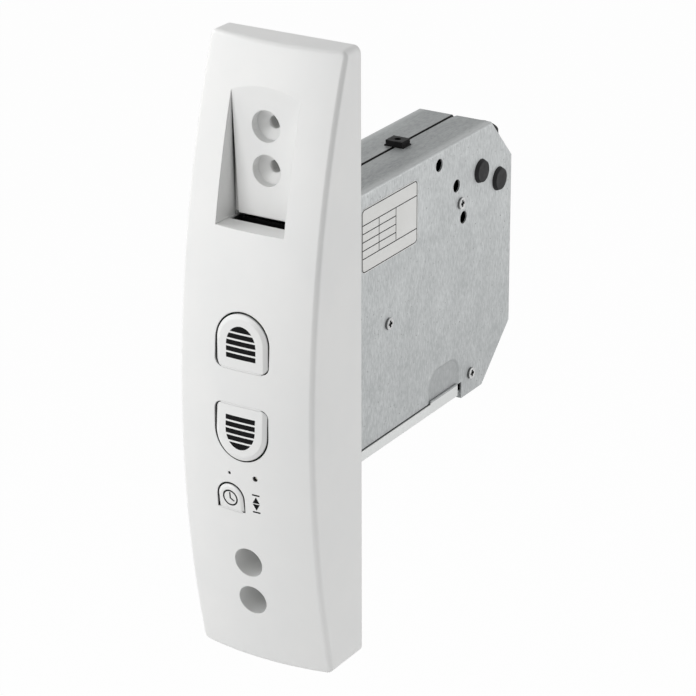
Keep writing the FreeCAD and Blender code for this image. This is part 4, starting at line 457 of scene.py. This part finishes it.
def shutter_mark(name, button, body, finish, upside_down):
    shape = bmesh.new()
    lay = on_front(button)
    for low, high in BAR_SPANS:
        rows = 5 if low < 20.0 else 18
        ink_sheet(shape, level_rows(low, high, shutter_half, 0.0, rows, 10, upside_down), lay)
    return ink_piece(name, shape, body, finish)


def ring_rows(x, z, inner, outer, count):
    rows = []
    for i in range(count):
        turn = 2.0 * math.pi * i / count
        rows.append([(x + r * math.sin(turn), z + r * math.cos(turn)) for r in (inner, outer)])
    return rows


def stroke_rows(start, end, width, steps=3):
    """A straight stroke from start to end, with square ends."""
    run = Vector((end[0] - start[0], end[1] - start[1]))
    side = Vector((-run.y, run.x)).normalized() * (width / 2.0)
    rows = []
    for i in range(steps + 1):
        at = Vector(start) + run * (i / steps)
        rows.append([tuple(at - side), tuple(at + side)])
    return rows


def clock_mark(finish):
    shape = bmesh.new()
    lay = on_front("clock_button")
    x, z = CLOCK_X, CLOCK_Z
    ink_sheet(shape, ring_rows(x, z, 3.00, 3.70, 56), lay, closed=True)
    ink_sheet(shape, stroke_rows((x, z + 2.60), (x, z - 0.40), CLOCK_STROKE), lay)
    ink_sheet(shape, stroke_rows((x - 0.02, z - 0.14), (x + 1.90, z - 1.20), CLOCK_STROKE), lay)
    return ink_piece("clock_mark", shape, "clock_key", finish)


def hinge_skin(name, button, body, finish, middle, half, hinge, up):
    """The thin web of the cover's plastic that the foot of a flap bends on, just over the gap."""
    shape = bmesh.new()

    def lay(point, top):
        x, z = point
        y = min(front_face(x, z, button), front_face(x, z, "cover")) - (SKIN_LIFT if top else -SKIN_DEPTH)
        return Vector((x, y, z)) * MM

    rows = []
    for i in range(5):
        z = hinge + up * SKIN_REACH * (i / 2.0 - 0.85)
        rows.append([(middle - half + half * k / 8.0, z) for k in range(17)])
    ink_sheet(shape, rows, lay)
    return ink_piece(name, shape, body, finish)


def end_stop_mark(finish):
    """Bar, up arrow, down arrow, bar, printed beside the clock button."""
    shape = bmesh.new()
    lay = on_front("cover")
    for z in STOP_BARS:
        ink_sheet(shape, stroke_rows((STOP_X - 1.75, z), (STOP_X + 1.75, z), 0.64), lay)
    for low, high, down in STOP_ARROWS:
        def half(height):
            share = (height - low) / (high - low)
            return max(0.015, 1.65 * (share if down else 1.0 - share))
        ink_sheet(shape, level_rows(low, high, half, STOP_X, 3, 4, False), lay)
    return ink_piece("end_stop_mark", shape, "fixed_part", finish)


def on_label(point, top):
    y, z = point
    face_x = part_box("rating_label")[1].x
    return Vector((face_x + (0.00003 if top else -0.00003), y * MM, z * MM))


def label_frame_rows(y_low, y_high, z_low, z_high, radius, width):
    """A closed line with round corners, as rows of an inner and an outer point."""
    rows = []
    corners = ((y_high, z_high, 0.0), (y_low, z_high, 90.0), (y_low, z_low, 180.0), (y_high, z_low, 270.0))
    for y, z, start in corners:
        centre_y = y - radius if y == y_high else y + radius
        centre_z = z - radius if z == z_high else z + radius
        for i in range(7):
            turn = math.radians(start + 15.0 * i)
            rows.append([
                (centre_y + r * math.cos(turn), centre_z + r * math.sin(turn))
                for r in (radius - width, radius)])
    return rows


def label_lines(finish):
    """The bare ruled table of a rating label, with no print in its cells."""
    shape = bmesh.new()
    low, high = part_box("rating_label")
    y_low, y_high = low.y / MM + 0.35, high.y / MM - 0.35
    z_low, z_high = low.z / MM + 0.35, high.z / MM - 0.35
    thin = 0.42
    ink_sheet(shape, label_frame_rows(y_low, y_high, z_low, z_high, 2.0, thin), on_label, closed=True)
    header = z_high - 6.8
    foot = z_low + 6.2
    step = (header - foot) / 4.0
    column = y_low + 27.0
    for z in (header, foot):
        ink_sheet(shape, stroke_rows((y_low + 0.2, z), (y_high - 0.2, z), thin), on_label)
    for i in (1, 2, 3):
        z = foot + step * i
        ink_sheet(shape, stroke_rows((y_low + 0.2, z), (column, z), thin), on_label)
    for y, top in ((y_low + 13.4, header), (column, header)):
        ink_sheet(shape, stroke_rows((y, foot), (y, top), thin), on_label)
    return ink_piece("label_lines", shape, "fixed_part", finish)


# Pale floor, white surroundings and soft lamps. Each lamp has its name, the way towards it, its
# distance and size in metres and its power in watts.

AMBIENT = 0.40
FLOOR_Z = -0.40
FLOOR_HALF = 6.0
FLOOR_PAPER = 0.80
FLOOR_WHITE = 0.975
LAMP_AIM = (0.0, 0.03, 0.0)
LAMPS = (
    ("key", (-0.33, -0.89, 0.24), 1.25, 0.9, 7.5),
    ("side", (-0.84, -0.18, 0.50), 0.72, 0.3, 1.75),
    ("fill", (0.86, 0.45, 0.10), 2.2, 1.6, 20.0),
)


def seen_or_mirrored(tree):
    """One where a ray comes from the camera, a mirror-like surface or glass."""
    rays = tree.nodes.new("ShaderNodeLightPath")
    first = tree.nodes.new("ShaderNodeMath")
    first.operation = "MAXIMUM"
    tree.links.new(rays.outputs["Is Camera Ray"], first.inputs[0])
    tree.links.new(rays.outputs["Is Glossy Ray"], first.inputs[1])
    second = tree.nodes.new("ShaderNodeMath")
    second.operation = "MAXIMUM"
    tree.links.new(first.outputs[0], second.inputs[0])
    tree.links.new(rays.outputs["Is Transmission Ray"], second.inputs[1])
    return second.outputs[0]


def add_world():
    world = bpy.data.worlds.new("studio")
    world.use_nodes = True
    tree = world.node_tree
    tree.nodes.clear()
    soft = tree.nodes.new("ShaderNodeBackground")
    soft.inputs["Color"].default_value = (1.0, 1.0, 1.0, 1.0)
    soft.inputs["Strength"].default_value = AMBIENT
    white = tree.nodes.new("ShaderNodeBackground")
    white.inputs["Color"].default_value = (1.0, 1.0, 1.0, 1.0)
    white.inputs["Strength"].default_value = 1.0
    mix = tree.nodes.new("ShaderNodeMixShader")
    out = tree.nodes.new("ShaderNodeOutputWorld")
    tree.links.new(seen_or_mirrored(tree), mix.inputs[0])
    tree.links.new(soft.outputs[0], mix.inputs[1])
    tree.links.new(white.outputs[0], mix.inputs[2])
    tree.links.new(mix.outputs[0], out.inputs["Surface"])
    bpy.context.scene.world = world


def add_floor():
    shape = bmesh.new()
    corners = ((-1, -1), (1, -1), (1, 1), (-1, 1))
    shape.faces.new([shape.verts.new((x * FLOOR_HALF, y * FLOOR_HALF, FLOOR_Z)) for x, y in corners])
    mesh = bpy.data.meshes.new("floor")
    shape.to_mesh(mesh)
    shape.free()
    floor = bpy.data.objects.new("floor", mesh)
    bpy.context.scene.collection.objects.link(floor)
    material = bpy.data.materials.new("floor_paper")
    material.use_nodes = True
    tree = material.node_tree
    tree.nodes.clear()
    paper = tree.nodes.new("ShaderNodeBsdfDiffuse")
    paper.inputs["Color"].default_value = (FLOOR_PAPER, FLOOR_PAPER, FLOOR_PAPER, 1.0)
    white = tree.nodes.new("ShaderNodeEmission")
    white.inputs["Color"].default_value = (1.0, 1.0, 1.0, 1.0)
    white.inputs["Strength"].default_value = 1.0
    share = tree.nodes.new("ShaderNodeMath")
    share.operation = "MULTIPLY"
    share.inputs[1].default_value = FLOOR_WHITE
    mix = tree.nodes.new("ShaderNodeMixShader")
    out = tree.nodes.new("ShaderNodeOutputMaterial")
    tree.links.new(seen_or_mirrored(tree), share.inputs[0])
    tree.links.new(share.outputs[0], mix.inputs[0])
    tree.links.new(paper.outputs[0], mix.inputs[1])
    tree.links.new(white.outputs[0], mix.inputs[2])
    # From below the floor is clear, so that it never hides the underside.
    side = tree.nodes.new("ShaderNodeNewGeometry")
    clear = tree.nodes.new("ShaderNodeBsdfTransparent")
    either = tree.nodes.new("ShaderNodeMixShader")
    tree.links.new(side.outputs["Backfacing"], either.inputs[0])
    tree.links.new(mix.outputs[0], either.inputs[1])
    tree.links.new(clear.outputs[0], either.inputs[2])
    tree.links.new(either.outputs[0], out.inputs["Surface"])
    mesh.materials.append(material)


def add_lamp(name, towards, distance, size, power):
    data = bpy.data.lights.new(name, "AREA")
    data.shape = "SQUARE"
    data.size = size
    data.energy = power
    lamp = bpy.data.objects.new(name, data)
    aim = Vector(LAMP_AIM)
    lamp.location = aim + Vector(towards).normalized() * distance
    lamp.rotation_euler = (aim - lamp.location).to_track_quat("-Z", "Y").to_euler()
    bpy.context.scene.collection.objects.link(lamp)


def make_scene():
    add_camera()
    add_world()
    add_floor()
    for lamp in LAMPS:
        add_lamp(*lamp)
    bpy.context.scene.view_settings.view_transform = "Standard"
    finish = make_finishes()
    dress_nodes(finish)
    ink = grained("printed_ink", (0.002, 0.002, 0.0022), (0.005, 0.005, 0.0055), 300.0, (0.45, 0.60), 2600.0,
                  0.000006, Specular_IOR_Level=0.08)
    fine_ink = grained("label_ink", (0.003, 0.003, 0.0033), (0.008, 0.008, 0.0085), 400.0, (0.45, 0.60),
                       2600.0, 0.000004, Specular_IOR_Level=0.08)
    shutter_mark("up_mark", "up_button", "up_key", ink, False)
    shutter_mark("down_mark", "down_button", "down_key", ink, True)
    white = finish["cover_white"]
    hinge_skin("up_hinge_skin", "up_button", "up_key", white, 0.0, 9.6, 4.3, 1.0)
    hinge_skin("down_hinge_skin", "down_button", "down_key", white, 0.0, 9.6, 2.0 * MARK_MIDDLE - 4.3, -1.0)
    hinge_skin("clock_hinge_skin", "clock_button", "clock_key", white, -6.2, 5.7, -58.8, 1.0)
    clock_mark(ink)
    end_stop_mark(ink)
    label_lines(fine_ink)


make_scene()
